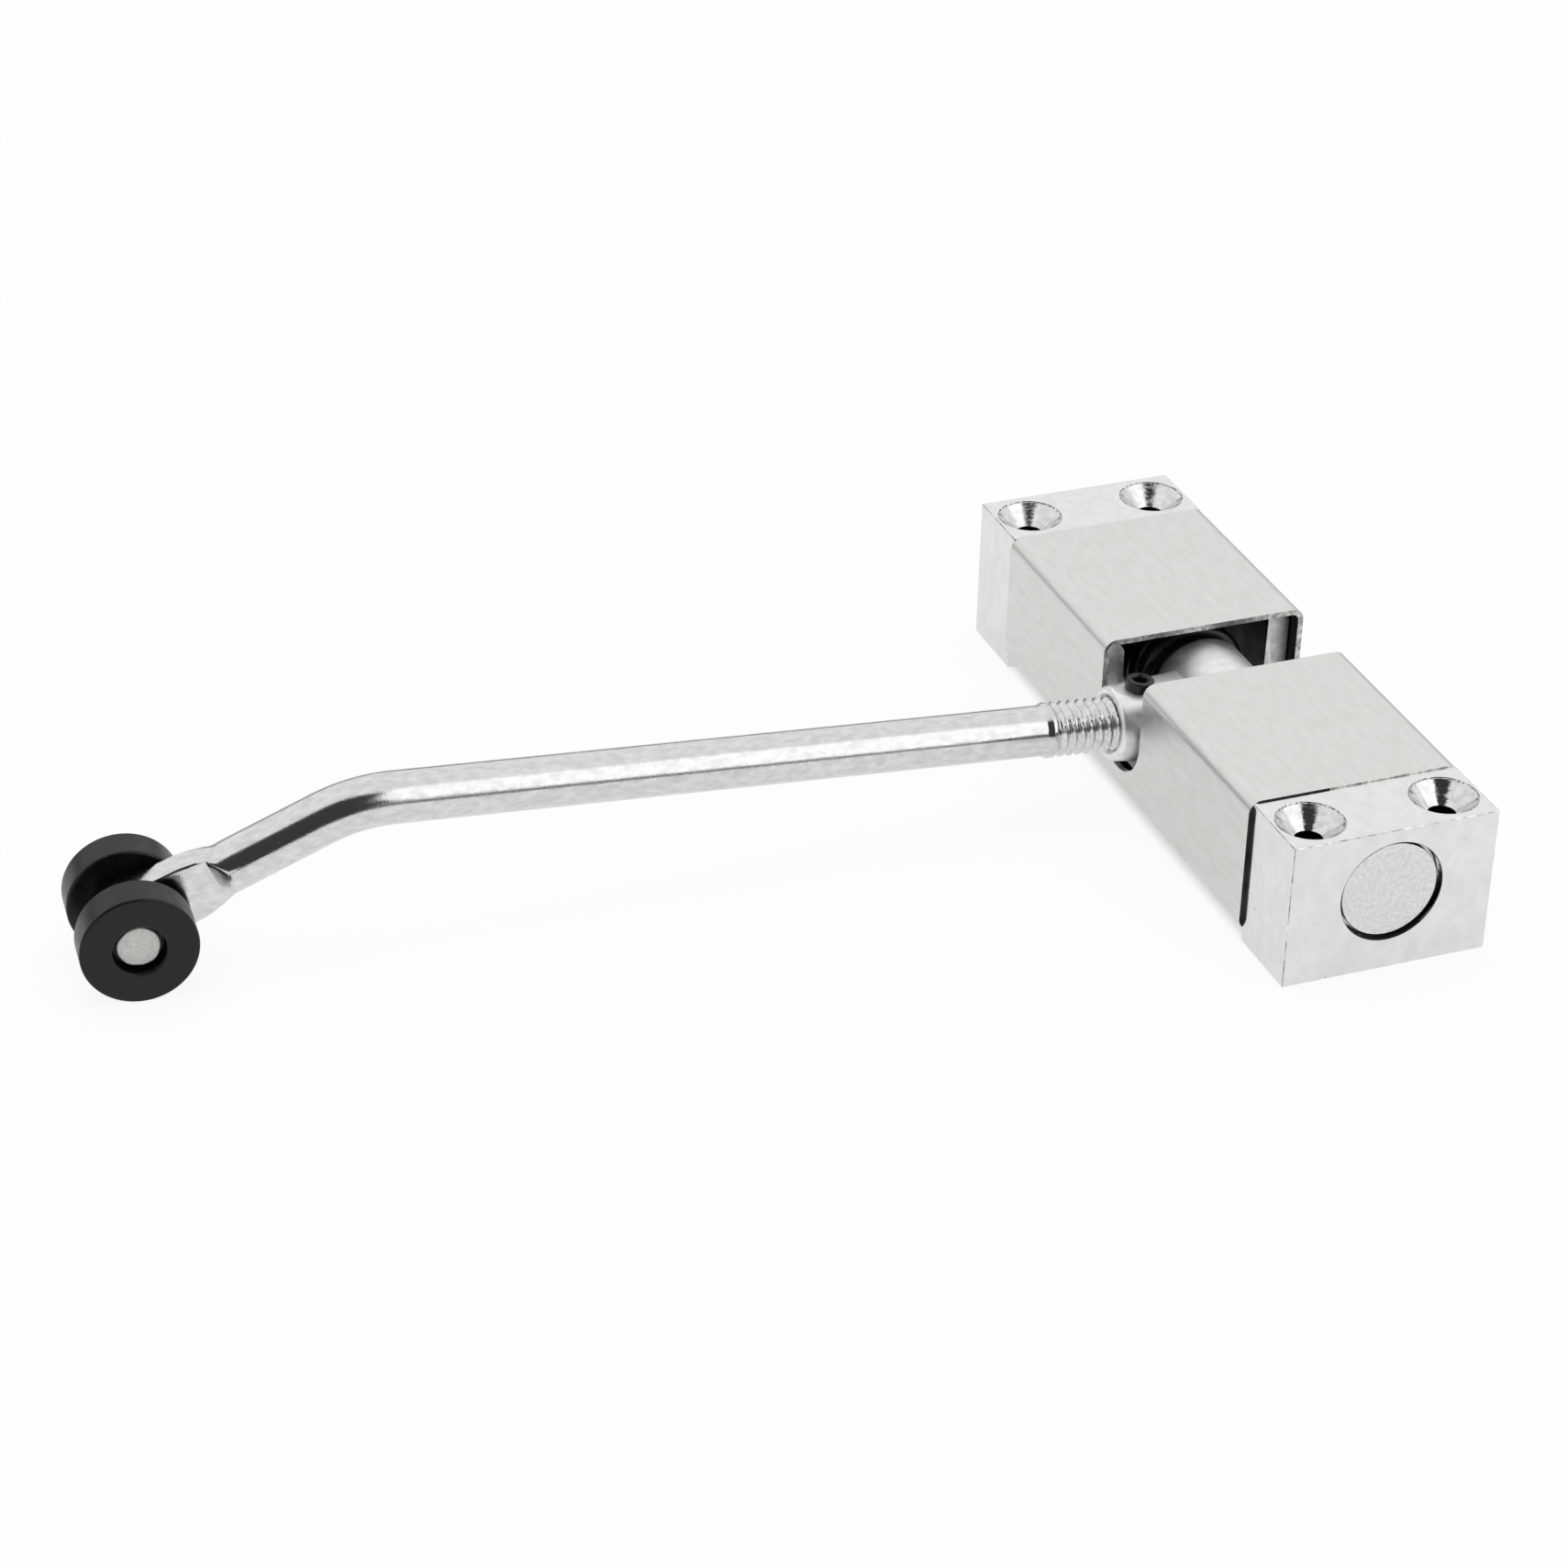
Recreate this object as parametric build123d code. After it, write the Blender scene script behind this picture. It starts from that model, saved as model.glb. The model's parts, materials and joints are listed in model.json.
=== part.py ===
from build123d import *
import math
import os

# Sprung roller-arm door closer.
# Origin: centre of the mounting face. X across the housing, the arm lies towards -X.
# Y along the housing and its spindle, front end at -Y. Z up from the mounting face.
# All lengths in millimetres, angles in degrees.

# Torsion springs, the pieces that the whole housing is sized round
spring_wire = 2.5
spring_inner_radius = 5.5
spring_whole_turns = 10
spring_coil_gap = 0.115
spring_bend_radius = 2.2
hub_leg_length = 4.8
block_leg_length = 4.0
hub_leg_angle = 120.0
block_leg_angle = 180.0

# Clearances
leg_clearance = 0.2
running_clearance = 0.05
seat_clearance = 0.02
face_clearance = 0.1
cover_clearance = 0.05

# Room left round the springs by the housing
head_room = 0.57
base_room = 3.55
side_room = 2.65
arbor_room = 1.5
spring_end_room = 0.35

# End blocks, zinc die-castings
block_head_length = 12.0
block_edge_radius = 0.3
cheek_thickness = 3.6
cheek_side_gap = 0.15
cheek_draft = 0.25
cheek_bevel = 1.3
cheek_top_gap = 1.15
cheek_end_setback = 2.3
bore_relief_depth = 1.0
bore_mouth_chamfer = 0.2
screw_hole_radius = 1.95
countersink_depth = 2.73
screw_wall = 0.47
screw_end_inset = 5.85

# Cover, a folded stainless steel channel
sheet = 0.8
cover_bend_radius = 1.0
cover_side_proud = 0.55
cover_top_proud = 0.25
cover_foot_height = 1.6
lip_length = 3.2
slot_side_room = 1.2
slot_floor_drop = 0.35

# End plugs, bushes and spindle
plug_over_leg = 0.3
plug_face_step = 0.4
plug_recess = 0.55
bush_wall = 1.0
bush_length = 6.8
plug_bore_room = 0.4
spindle_edge = 0.5

# Hub with its boss for the arm
hub_end_wall = 0.155
hub_over_leg = 0.14
hub_rim_radius = 1.0
washer_thickness = 0.8
washer_under_leg = 0.65
boss_drop = 0.92
boss_tilt = 4.58
boss_wall = 1.3
boss_taper = 6.0
boss_proud = 2.05
boss_tip_chamfer = 0.6
flat_over_thread = 1.3
cross_pin_radius = 1.25
cross_pin_inset = 2.35
cross_pin_blind = 0.8
grub_radius = 2.0
grub_inset = 4.15
grub_proud = 1.5
grub_bite = 0.7
socket_across_flats = 2.0
socket_depth = 1.5

# Arm rod
thread_radius = 3.9
rod_radius = 3.55
rod_end_room = 2.2
thread_length = 21.1
thread_chamfer = 0.7
rod_reach = 125.7
rod_bend_radius = 20.0
tail_length = 32.85
tail_sweep = 4.8
press_start = 18.5
press_ramp = 2.1
tail_thickness = 3.8
eye_radius = 4.6
paddle_flare = 4.4
paddle_half_width = 4.35
paddle_edge_radius = 0.5

# Rollers on their riveted pin
roller_radius = 7.8
roller_width = 5.0
roller_edge = 0.35
roller_pin_radius = 2.0
pin_head_radius = 2.85
pin_head_thickness = 1.25
pin_head_recess = 1.03
counterbore_radius = 3.55
spacer_radius = 4.4
spacer_thickness = 1.4

# Spring geometry that follows
spring_mean_radius = spring_inner_radius + spring_wire / 2
spring_pitch = spring_wire + spring_coil_gap
helix_angle = math.atan(spring_pitch / (2 * math.pi * spring_mean_radius))
leg_shift = spring_bend_radius * (1 - math.sin(helix_angle))
leg_radius = math.hypot(spring_mean_radius, leg_shift)
leg_turn = math.degrees(math.atan(leg_shift / spring_mean_radius))
part_turn = (hub_leg_angle - block_leg_angle - 2 * leg_turn) % 360 / 360
spring_height = spring_pitch * (spring_whole_turns + part_turn)
leg_hole_radius = spring_wire / 2 + leg_clearance
sweep_radius = leg_radius + spring_wire / 2
spindle_radius = spring_inner_radius - arbor_room

# Heights and half-widths of the housing
axis_height = sweep_radius + base_room
cover_inner_top = axis_height + sweep_radius + head_room
cover_top = cover_inner_top + sheet
block_height = cover_top - cover_top_proud
cheek_inner_x = sweep_radius + side_room
cheek_outer_x = cheek_inner_x + cheek_thickness
cover_inner_x = cheek_outer_x + cheek_side_gap
cover_outer_x = cover_inner_x + sheet
block_half_width = cover_outer_x - cover_side_proud

# Boss and slot that follow
boss_bore_radius = thread_radius + seat_clearance
boss_tip_radius = thread_radius + boss_wall
boss_reach = cover_outer_x + boss_proud
boss_root_radius = boss_tip_radius + boss_reach * math.tan(math.radians(boss_taper))
boss_flat_height = thread_radius + flat_over_thread
rod_start = spindle_radius + rod_end_room
slot_half_width = boss_tip_radius + slot_side_room
slot_floor_centre = axis_height - slot_floor_drop

# Places along the spindle, measured from the middle of the housing
hub_half_length = boss_root_radius + hub_end_wall
washer_start = hub_half_length + cover_clearance
coil_start = washer_start + washer_thickness + face_clearance
coil_end = coil_start + spring_height + spring_wire
head_start = coil_end + spring_end_room
housing_half_length = head_start + block_head_length

# Fits that follow
plug_radius = leg_radius + plug_over_leg
block_bore_radius = plug_radius + seat_clearance
bush_radius = spindle_radius + running_clearance + bush_wall
plug_bore_depth = face_clearance + bush_length + plug_bore_room
spindle_half_length = head_start + plug_bore_depth - plug_bore_room
hub_radius = leg_radius + hub_over_leg
washer_radius = leg_radius - washer_under_leg
screw_x = block_bore_radius + screw_hole_radius + screw_wall
screw_y = housing_half_length - screw_end_inset

# Roller stack that follows, measured along the pin from the middle of the tail
spacer_start = tail_thickness / 2 + running_clearance
roller_inner_face = spacer_start + spacer_thickness + running_clearance
roller_outer_face = roller_inner_face + roller_width
pin_head_face = roller_outer_face - pin_head_recess
pin_head_seat = pin_head_face - pin_head_thickness
counterbore_floor = pin_head_seat - face_clearance

# Frames. The arm frame runs along the rod, the tail frame along the bent end.
# The tail drops just far enough for the rollers to stand level with the mounting face.
tilt = math.radians(boss_tilt)
sweep_turn = math.radians(tail_sweep)
arm_origin = Vector(0, 0, axis_height - boss_drop)
arm_direction = Vector(-math.cos(tilt), 0, math.sin(tilt))
arm_frame = Plane(arm_origin, x_dir=arm_direction, z_dir=(math.sin(tilt), 0, math.cos(tilt)))
bend_point = arm_origin + arm_direction * rod_reach
tail_drop = math.asin((bend_point.Z - roller_radius) / tail_length)
tail_direction = Vector(
    -math.cos(sweep_turn) * math.cos(tail_drop),
    math.sin(sweep_turn) * math.cos(tail_drop),
    -math.sin(tail_drop),
)
pin_direction = Vector(math.sin(sweep_turn), math.cos(sweep_turn), 0)
tail_frame = Plane(bend_point, x_dir=tail_direction, z_dir=pin_direction)
pin_point = bend_point + tail_direction * tail_length
pin_frame = Plane(pin_point, x_dir=tail_direction, z_dir=pin_direction)
spindle_frame = Plane((0, 0, axis_height), x_dir=(1, 0, 0), z_dir=(0, 1, 0))


def bar(radius, start, end):
    """Round bar along the local Z axis, from start to end."""
    return Pos(0, 0, (start + end) / 2) * Cylinder(radius, end - start)


def bar_along_x(radius, start, end):
    """Round bar along the local X axis, from start to end."""
    return Pos((start + end) / 2, 0, 0) * Rot(0, 90, 0) * Cylinder(radius, end - start)


def block_between(low, high):
    """Box between two opposite corners."""
    size = [high[i] - low[i] for i in range(3)]
    middle = [(high[i] + low[i]) / 2 for i in range(3)]
    return Pos(*middle) * Box(*size)


def round_the_spindle(shape):
    """Put a shape made about the local Z axis onto the spindle axis."""
    return spindle_frame.location * shape


def at_spindle_angle(radius, angle):
    """Move from the spindle axis to a place at an angle from straight up, towards +X."""
    turn = math.radians(angle)
    return Pos(radius * math.sin(turn), 0, axis_height + radius * math.cos(turn)) * Rot(-90, 0, 0)


def front_copy(shape):
    """Mirror a rear piece to the front end of the housing."""
    return mirror(shape, about=Plane.XZ)


def rear_end_block():
    """Block head with the plug bore and screw holes, and two cheeks inside the cover."""
    head = block_between(
        (-block_half_width, head_start, 0),
        (block_half_width, housing_half_length, block_height),
    )
    head = fillet(head.edges().filter_by(Axis.Y) + head.edges().group_by(Axis.Y)[-1], block_edge_radius)
    cheek = cheek_bar()
    block = head + cheek + mirror(cheek, about=Plane.YZ)
    block -= round_the_spindle(bar(block_bore_radius, head_start - 1, housing_half_length + 1))
    mouth = block.edges().filter_by(GeomType.CIRCLE).group_by(Axis.Y)[-1]
    block = chamfer(mouth, bore_mouth_chamfer)
    block -= leg_hole(block_leg_angle, head_start, block_leg_length)
    for side in (-1, 1):
        block -= Pos(side * screw_x, screw_y, 0) * screw_hole()
    return block


def cheek_bar():
    """One cheek of a block: a drafted bar that fills the cover's side, bevelled on top."""
    foot = cover_foot_height + sheet + cover_clearance
    top = cover_inner_top - cheek_top_gap
    corner = cover_bend_radius
    outline = Polyline(
        (cheek_inner_x, foot),
        (cheek_outer_x - corner, foot),
        (cheek_outer_x, foot + corner),
        (cheek_outer_x, top - cheek_bevel / 2),
        (cheek_outer_x - cheek_bevel / 2, top),
        (cheek_inner_x + cheek_draft + cheek_bevel / 2, top),
        (cheek_inner_x + cheek_draft, top - cheek_bevel),
        close=True,
    )
    start = slot_half_width + cheek_end_setback
    profile = Plane.XZ.offset(-start) * make_face(outline)
    cheek = extrude(profile, head_start + block_edge_radius - start, dir=(0, 1, 0))
    nose = cheek.edges().filter_by(Axis.X).group_by(Axis.Y)[0].sort_by(Axis.Z)[-1]
    return chamfer(nose, cheek_bevel, cheek_bevel / 2)


def screw_hole():
    """Countersunk hole for a wood screw, from the mounting face up."""
    mouth = screw_hole_radius + countersink_depth
    shank = bar(screw_hole_radius, -1, block_height + 1)
    cone = Pos(0, 0, block_height - countersink_depth / 2) * Cone(
        screw_hole_radius, mouth, countersink_depth
    )
    return shank + cone


def leg_hole(angle, start, depth):
    """Hole along the spindle for the straight leg of a spring."""
    length = depth + spring_bend_radius + leg_clearance
    hole = Pos(0, 0, start + length / 2) * Cylinder(leg_hole_radius, length)
    return at_spindle_angle(leg_radius, angle) * hole


def cover_channel():
    """One folded channel over both blocks, slotted across the middle for the arm."""
    half_length = head_start - cover_clearance
    outer_radius = cover_bend_radius + sheet
    outer = RectangleRounded(2 * cover_outer_x, cover_top - cover_foot_height, outer_radius)
    inner = RectangleRounded(
        2 * cover_inner_x, cover_inner_top - cover_foot_height - sheet, cover_bend_radius
    )
    mouth = Rectangle(2 * (cover_outer_x - sheet - lip_length), 4 * sheet)
    middle = (cover_top + cover_foot_height) / 2
    profile = outer - inner - Pos(0, cover_foot_height - middle) * mouth
    section = Plane((0, half_length, middle), x_dir=(1, 0, 0), z_dir=(0, -1, 0)) * profile
    cover = extrude(section, 2 * half_length)
    slot = block_between(
        (-cover_outer_x - 1, -slot_half_width, slot_floor_centre),
        (cover_outer_x + 1, slot_half_width, cover_top + 1),
    )
    floor = Pos(0, 0, slot_floor_centre) * bar_along_x(
        slot_half_width, -cover_outer_x - 1, cover_outer_x + 1
    )
    return cover - slot - floor


def rear_end_plug():
    """Plug staked in the block's bore, whose face shows as the disc at the end."""
    face = housing_half_length - plug_recess
    plug = bar(plug_radius, head_start, face - bore_relief_depth)
    plug += bar(plug_radius - plug_face_step, face - bore_relief_depth - 0.01, face)
    plug -= bar(bush_radius + seat_clearance, head_start - 1, head_start + plug_bore_depth)
    return round_the_spindle(plug) - leg_hole(block_leg_angle, head_start, block_leg_length)


def rear_bush():
    """Plain bearing in the plug for one end of the spindle."""
    start = head_start + face_clearance
    sleeve = bar(bush_radius, start, start + bush_length)
    sleeve -= bar(spindle_radius + running_clearance, start - 1, start + bush_length + 1)
    return round_the_spindle(sleeve)


def spindle():
    """Steel axle that carries the hub and turns in both bushes."""
    axle = bar(spindle_radius, -spindle_half_length, spindle_half_length)
    axle = chamfer(axle.edges().filter_by(GeomType.CIRCLE), spindle_edge)
    return round_the_spindle(axle) - cross_pin_cutter()


def cross_pin_place():
    """Middle of the cross pin along the spindle, clear of the rod's bore."""
    return hub_half_length - cross_pin_inset


def cross_pin_bar(radius, start, end):
    """Round bar across the spindle at the cross pin's place."""
    return Pos(0, cross_pin_place(), axis_height) * bar_along_x(radius, start, end)


def cross_pin_cutter():
    """Blind hole for the cross pin, open at the +X side of the hub."""
    blind = -spindle_radius - cross_pin_blind - face_clearance
    return cross_pin_bar(cross_pin_radius + seat_clearance, blind, hub_radius + 1)


def hub_cross_pin():
    """Pin that fixes the hub to the spindle."""
    return cross_pin_bar(cross_pin_radius, -spindle_radius - cross_pin_blind, hub_radius - face_clearance)


def boss_cone():
    """Tapered boss with a flat on top, in the arm frame."""
    cone = Cone(boss_root_radius, boss_tip_radius, boss_reach)
    tip = cone.edges().filter_by(GeomType.CIRCLE).sort_by(Axis.Z)[-1]
    cone = chamfer(tip, 2 * boss_tip_chamfer, boss_tip_chamfer, reference=cone.faces().filter_by(GeomType.CONE)[0])
    boss = Pos(boss_reach / 2, 0, 0) * Rot(0, 90, 0) * cone
    wide = 2 * boss_root_radius
    return boss - Pos(boss_reach / 2, 0, boss_flat_height + wide / 2) * Box(2 * boss_reach, wide, wide)


def grub_place():
    """Distance of the grub screw along the arm from the middle of the hub."""
    return boss_reach - grub_inset


def hub():
    """Cast drum on the spindle with the threaded boss for the arm."""
    drum = bar(hub_radius, -hub_half_length, hub_half_length)
    drum = round_the_spindle(fillet(drum.edges().filter_by(GeomType.CIRCLE), hub_rim_radius))
    cast = drum + arm_frame.location * boss_cone()
    rod_bore = bar_along_x(boss_bore_radius, rod_start - face_clearance, boss_reach + 1)
    grub_bore = Pos(grub_place(), 0, 0) * bar(grub_radius + seat_clearance, 0, hub_radius + 1)
    cast -= arm_frame.location * (rod_bore + grub_bore)
    cast -= round_the_spindle(bar(spindle_radius + seat_clearance, -hub_half_length - 1, hub_half_length + 1))
    groove = bar(leg_hole_radius, -hub_half_length - 1, hub_half_length + 1)
    cast -= at_spindle_angle(leg_radius, hub_leg_angle) * groove
    return cast - cross_pin_cutter()


def rear_thrust_washer():
    """Washer between the hub and a spring, notched for the spring's leg."""
    ring = bar(washer_radius, washer_start, washer_start + washer_thickness)
    ring -= bar(spindle_radius + running_clearance, washer_start - 1, washer_start + washer_thickness + 1)
    notch = bar(leg_hole_radius + leg_clearance, washer_start - 1, washer_start + washer_thickness + 1)
    return round_the_spindle(ring) - at_spindle_angle(leg_radius, hub_leg_angle) * notch


def bend_and_leg(corner, along, outward, leg):
    """Bend at a coil's end and the straight leg after it, as two edges."""
    def on_bend(turn):
        """Point of the bend where the wire has turned this far towards the spindle."""
        centre = corner - along * (spring_bend_radius * math.sin(helix_angle))
        centre += outward * (spring_bend_radius * math.cos(helix_angle))
        return centre + (along * math.sin(turn) - outward * math.cos(turn)) * spring_bend_radius
    half_turn = (helix_angle + math.pi / 2) / 2
    finish = on_bend(math.pi / 2)
    bend = ThreePointArc(corner, on_bend(half_turn), finish)
    return bend, Line(finish, finish + outward * leg)


def rear_torsion_spring():
    """Left-hand coil with one leg in the hub's groove and the other in the block."""
    coil = Helix(spring_pitch, spring_height, spring_mean_radius, lefthand=True)
    up = Vector(0, 0, 1)
    turned = -math.radians(360 * (spring_whole_turns + part_turn))
    last = Vector(spring_mean_radius * math.cos(turned), spring_mean_radius * math.sin(turned), spring_height)
    onward = Vector(math.sin(turned), -math.cos(turned), 0)
    first_bend, first_leg = bend_and_leg(
        Vector(spring_mean_radius, 0, 0), Vector(0, 1, 0), -up, hub_leg_length
    )
    last_bend, last_leg = bend_and_leg(last, onward, up, block_leg_length)
    path = Wire([first_leg.edge(), first_bend.edge(), coil.edge(), last_bend.edge(), last_leg.edge()])
    tip = first_leg @ 1
    wire = sweep(Plane(tip, z_dir=(0, 0, 1)) * Circle(spring_wire / 2), path=path)
    clock = hub_leg_angle - 90 - leg_turn
    seat = Pos(0, coil_start + spring_wire / 2, axis_height)
    return seat * Rot(-90, 0, 0) * Rot(0, 0, clock) * wire


def hub_grub_screw():
    """Socket set screw that locks the rod's thread in the boss."""
    foot = thread_radius - grub_bite + seat_clearance
    top = boss_flat_height + grub_proud
    screw = bar(grub_radius, foot, top)
    screw = chamfer(screw.edges().filter_by(GeomType.CIRCLE), grub_radius / 8)
    socket = extrude(RegularPolygon(socket_across_flats / 2, 6, major_radius=False), socket_depth)
    screw -= Pos(0, 0, top - socket_depth) * socket
    return arm_frame.location * (Pos(grub_place(), 0, 0) * screw)


def arm_rod():
    """Rod with a rolled thread, bent near its end and pressed flat round the pin."""
    thread = bar_along_x(thread_radius, rod_start, rod_start + thread_length)
    thread = chamfer(thread.edges().filter_by(GeomType.CIRCLE), thread_chamfer / 2)
    spot = Pos(grub_place(), 0, thread_radius - grub_bite) * bar(grub_radius + seat_clearance, 0, thread_radius)
    start = arm_origin + arm_direction * (rod_start + thread_length - thread_chamfer)
    press_end = press_start + press_ramp
    round_end = bend_point + tail_direction * (press_end + paddle_flare)
    path = FilletPolyline(start, bend_point, round_end, radius=rod_bend_radius)
    shank = sweep(Plane(start, z_dir=arm_direction) * Circle(rod_radius), path=path)
    for side in (-1, 1):
        shank -= tail_frame.location * Pos(0, 0, side * tail_thickness / 2) * press_cutter(side)
    rod = arm_frame.location * (thread - spot) + shank + tail_frame.location * paddle()
    return rod - pin_frame.location * bar(roller_pin_radius + seat_clearance, -tail_thickness, tail_thickness)


def press_cutter(side):
    """What the press takes off one side of the rod, in the tail frame."""
    depth = rod_radius - tail_thickness / 2
    far = tail_length
    outline = Polyline(
        (press_start, side * depth),
        (press_start + press_ramp, 0),
        (far, 0),
        (far, side * 2 * rod_radius),
        (press_start, side * 2 * rod_radius),
        close=True,
    )
    return extrude(Plane.XZ * make_face(outline), 2 * rod_radius, both=True)


def paddle():
    """Flat end of the rod round the pin hole, in the tail frame."""
    shoulder = press_start + press_ramp + paddle_flare
    half = rod_radius - paddle_edge_radius / 4
    outline = Polyline(
        (press_start, -half),
        (shoulder, -paddle_half_width),
        (tail_length, -eye_radius),
        (tail_length, eye_radius),
        (shoulder, paddle_half_width),
        (press_start, half),
        close=True,
    )
    flat = make_face(outline) + Pos(tail_length, 0) * Circle(eye_radius)
    plate = extrude(flat, tail_thickness / 2, both=True)
    rim = plate.edges().group_by(Axis.Z)[0] + plate.edges().group_by(Axis.Z)[-1]
    return fillet(rim, paddle_edge_radius)


def roller_pin():
    """Rivet through the tail's eye, with a flattened head in each roller."""
    pin = bar(roller_pin_radius, -pin_head_seat, pin_head_seat)
    for side in (-1, 1):
        head = bar(pin_head_radius, 0, pin_head_thickness)
        head = fillet(head.edges().group_by(Axis.Z)[-1], pin_head_thickness / 4)
        pin += Rot(0 if side > 0 else 180, 0, 0) * Pos(0, 0, pin_head_seat) * head
    return pin_frame.location * pin


def rear_spacer_washer():
    """Spacer between the flattened tail and a roller."""
    ring = bar(spacer_radius, spacer_start, spacer_start + spacer_thickness)
    ring -= bar(roller_pin_radius + seat_clearance, spacer_start - 1, spacer_start + spacer_thickness + 1)
    return pin_frame.location * ring


def rear_roller():
    """Moulded roller with a counterbore that hides the rivet's head."""
    roller = bar(roller_radius, roller_inner_face, roller_outer_face)
    roller = fillet(roller.edges().filter_by(GeomType.CIRCLE), roller_edge)
    roller -= bar(roller_pin_radius + running_clearance, roller_inner_face - 1, roller_outer_face + 1)
    roller -= bar(counterbore_radius, counterbore_floor, roller_outer_face + 1)
    return pin_frame.location * roller


def across_the_tail(shape):
    """Mirror a piece on the pin to the other side of the flattened tail."""
    return mirror(shape, about=pin_frame)


block = rear_end_block()
plug = rear_end_plug()
bush = rear_bush()
washer = rear_thrust_washer()
spring = rear_torsion_spring()
spacer = rear_spacer_washer()
roller = rear_roller()

nodes = {
    "cover_channel": cover_channel(),
    "front_end_block": front_copy(block),
    "rear_end_block": block,
    "front_end_plug": front_copy(plug),
    "rear_end_plug": plug,
    "front_bush": front_copy(bush),
    "rear_bush": bush,
    "front_torsion_spring": front_copy(spring),
    "rear_torsion_spring": spring,
    "hub": hub(),
    "spindle": spindle(),
    "hub_cross_pin": hub_cross_pin(),
    "front_thrust_washer": front_copy(washer),
    "rear_thrust_washer": washer,
    "hub_grub_screw": hub_grub_screw(),
    "arm_rod": arm_rod(),
    "roller_pin": roller_pin(),
    "front_spacer_washer": across_the_tail(spacer),
    "rear_spacer_washer": spacer,
    "front_roller": across_the_tail(roller),
    "rear_roller": roller,
}

os.makedirs("parts", exist_ok=True)
for name, shape in nodes.items():
    export_step(shape, f"parts/{name}.step")
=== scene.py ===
"""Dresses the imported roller-arm door closer with its finished surfaces, studio and camera.

Every length is in millimetres until a mesh is made, and then in metres, in the frame of the
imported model: X across the housing with the arm towards -X, Y along the housing, Z up from
the mounting face.
"""

from __future__ import annotations

import json
import logging
import math
from collections.abc import Callable, Iterable, Sequence
from dataclasses import dataclass
from enum import Enum, IntEnum
from typing import Any

import bmesh
import bpy
import numpy as np
from mathutils import Matrix, Vector

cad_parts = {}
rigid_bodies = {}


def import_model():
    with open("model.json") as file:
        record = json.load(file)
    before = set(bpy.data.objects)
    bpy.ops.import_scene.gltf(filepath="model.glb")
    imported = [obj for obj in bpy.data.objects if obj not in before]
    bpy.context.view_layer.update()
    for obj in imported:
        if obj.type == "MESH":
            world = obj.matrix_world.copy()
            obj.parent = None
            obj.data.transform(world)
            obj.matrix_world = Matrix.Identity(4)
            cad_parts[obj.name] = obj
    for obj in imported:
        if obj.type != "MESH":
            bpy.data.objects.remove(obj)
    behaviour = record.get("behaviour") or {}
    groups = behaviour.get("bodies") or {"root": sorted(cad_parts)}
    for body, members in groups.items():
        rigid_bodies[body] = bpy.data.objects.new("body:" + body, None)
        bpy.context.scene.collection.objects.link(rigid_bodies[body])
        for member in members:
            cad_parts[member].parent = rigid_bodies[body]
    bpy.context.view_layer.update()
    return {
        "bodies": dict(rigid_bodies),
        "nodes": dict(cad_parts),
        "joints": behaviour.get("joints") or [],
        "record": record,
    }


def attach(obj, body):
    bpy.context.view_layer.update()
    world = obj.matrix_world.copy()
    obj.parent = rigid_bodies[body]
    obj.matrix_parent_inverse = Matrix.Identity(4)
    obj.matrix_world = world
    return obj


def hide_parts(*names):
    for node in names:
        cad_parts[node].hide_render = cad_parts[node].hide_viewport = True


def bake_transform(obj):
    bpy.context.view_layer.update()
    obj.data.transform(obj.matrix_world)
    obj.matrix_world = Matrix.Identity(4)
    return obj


log = logging.getLogger("door_closer")

MM = 0.001
SMOOTH_ANGLE = math.radians(32)
WHITE = (1.0, 1.0, 1.0, 1.0)
SMOOTH = {"interpolation_type": "SMOOTHSTEP"}
LIMITS = ("From Min", "From Max", "To Min", "To Max")
MIRROR_X, MIRROR_Y = (1, 0, 0), (0, 1, 0)
FULL_TURN = 2 * math.pi

Flat = tuple[float, float]
Point = tuple[float, float, float]
Profile = Sequence[Flat]
Socket = bpy.types.NodeSocket
Tree = bpy.types.NodeTree
Mesh = bpy.types.Mesh
Piece = bpy.types.Object


class End(Enum):
    """The two ends of the housing, and the side of Y that each is on."""

    FRONT = -1
    REAR = 1

    @property
    def label(self) -> str:
        """The word that the end's nodes start with."""
        return self.name.lower()


class Body(Enum):
    """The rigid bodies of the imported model."""

    HOUSING = "housing"
    ARM = "arm"
    FRONT_ROLLER = "front_roller"
    REAR_ROLLER = "rear_roller"


class Cut(Enum):
    """How one solid is combined with another."""

    JOIN = "UNION"
    REMOVE = "DIFFERENCE"


class Skin(IntEnum):
    """The finishes of an end block's faces, in the order of its materials."""

    POLISHED = 0
    COUNTERSUNK = 1
    WORN = 2
    CAST = 3
    GREASY = 4
    DIRTY = 5
    RUBBED = 6


# Node trees


def add(
    tree: Tree,
    kind: str,
    settings: dict[str, Any] | None = None,
    inputs: dict[str | int, Any] | None = None,
) -> bpy.types.Node:
    """Adds one node with its settings, values and links.

    Args:
        tree: The tree that gets the node.
        kind: The node's type name.
        settings: Properties of the node itself.
        inputs: Its inputs by name or number. A socket is linked, anything else is a value.

    Returns:
        The new node.
    """
    node = tree.nodes.new(kind)
    for name, value in (settings or {}).items():
        setattr(node, name, value)
    for key, value in (inputs or {}).items():
        if isinstance(value, Socket):
            tree.links.new(value, node.inputs[key])
        else:
            node.inputs[key].default_value = value
    return node


def empty_tree(owner: bpy.types.Material | bpy.types.World) -> Tree:
    """Empties the node tree of a material or a world.

    Args:
        owner: The material or the world.

    Returns:
        Its tree.
    """
    owner.use_nodes = True
    owner.node_tree.nodes.clear()
    return owner.node_tree


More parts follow.
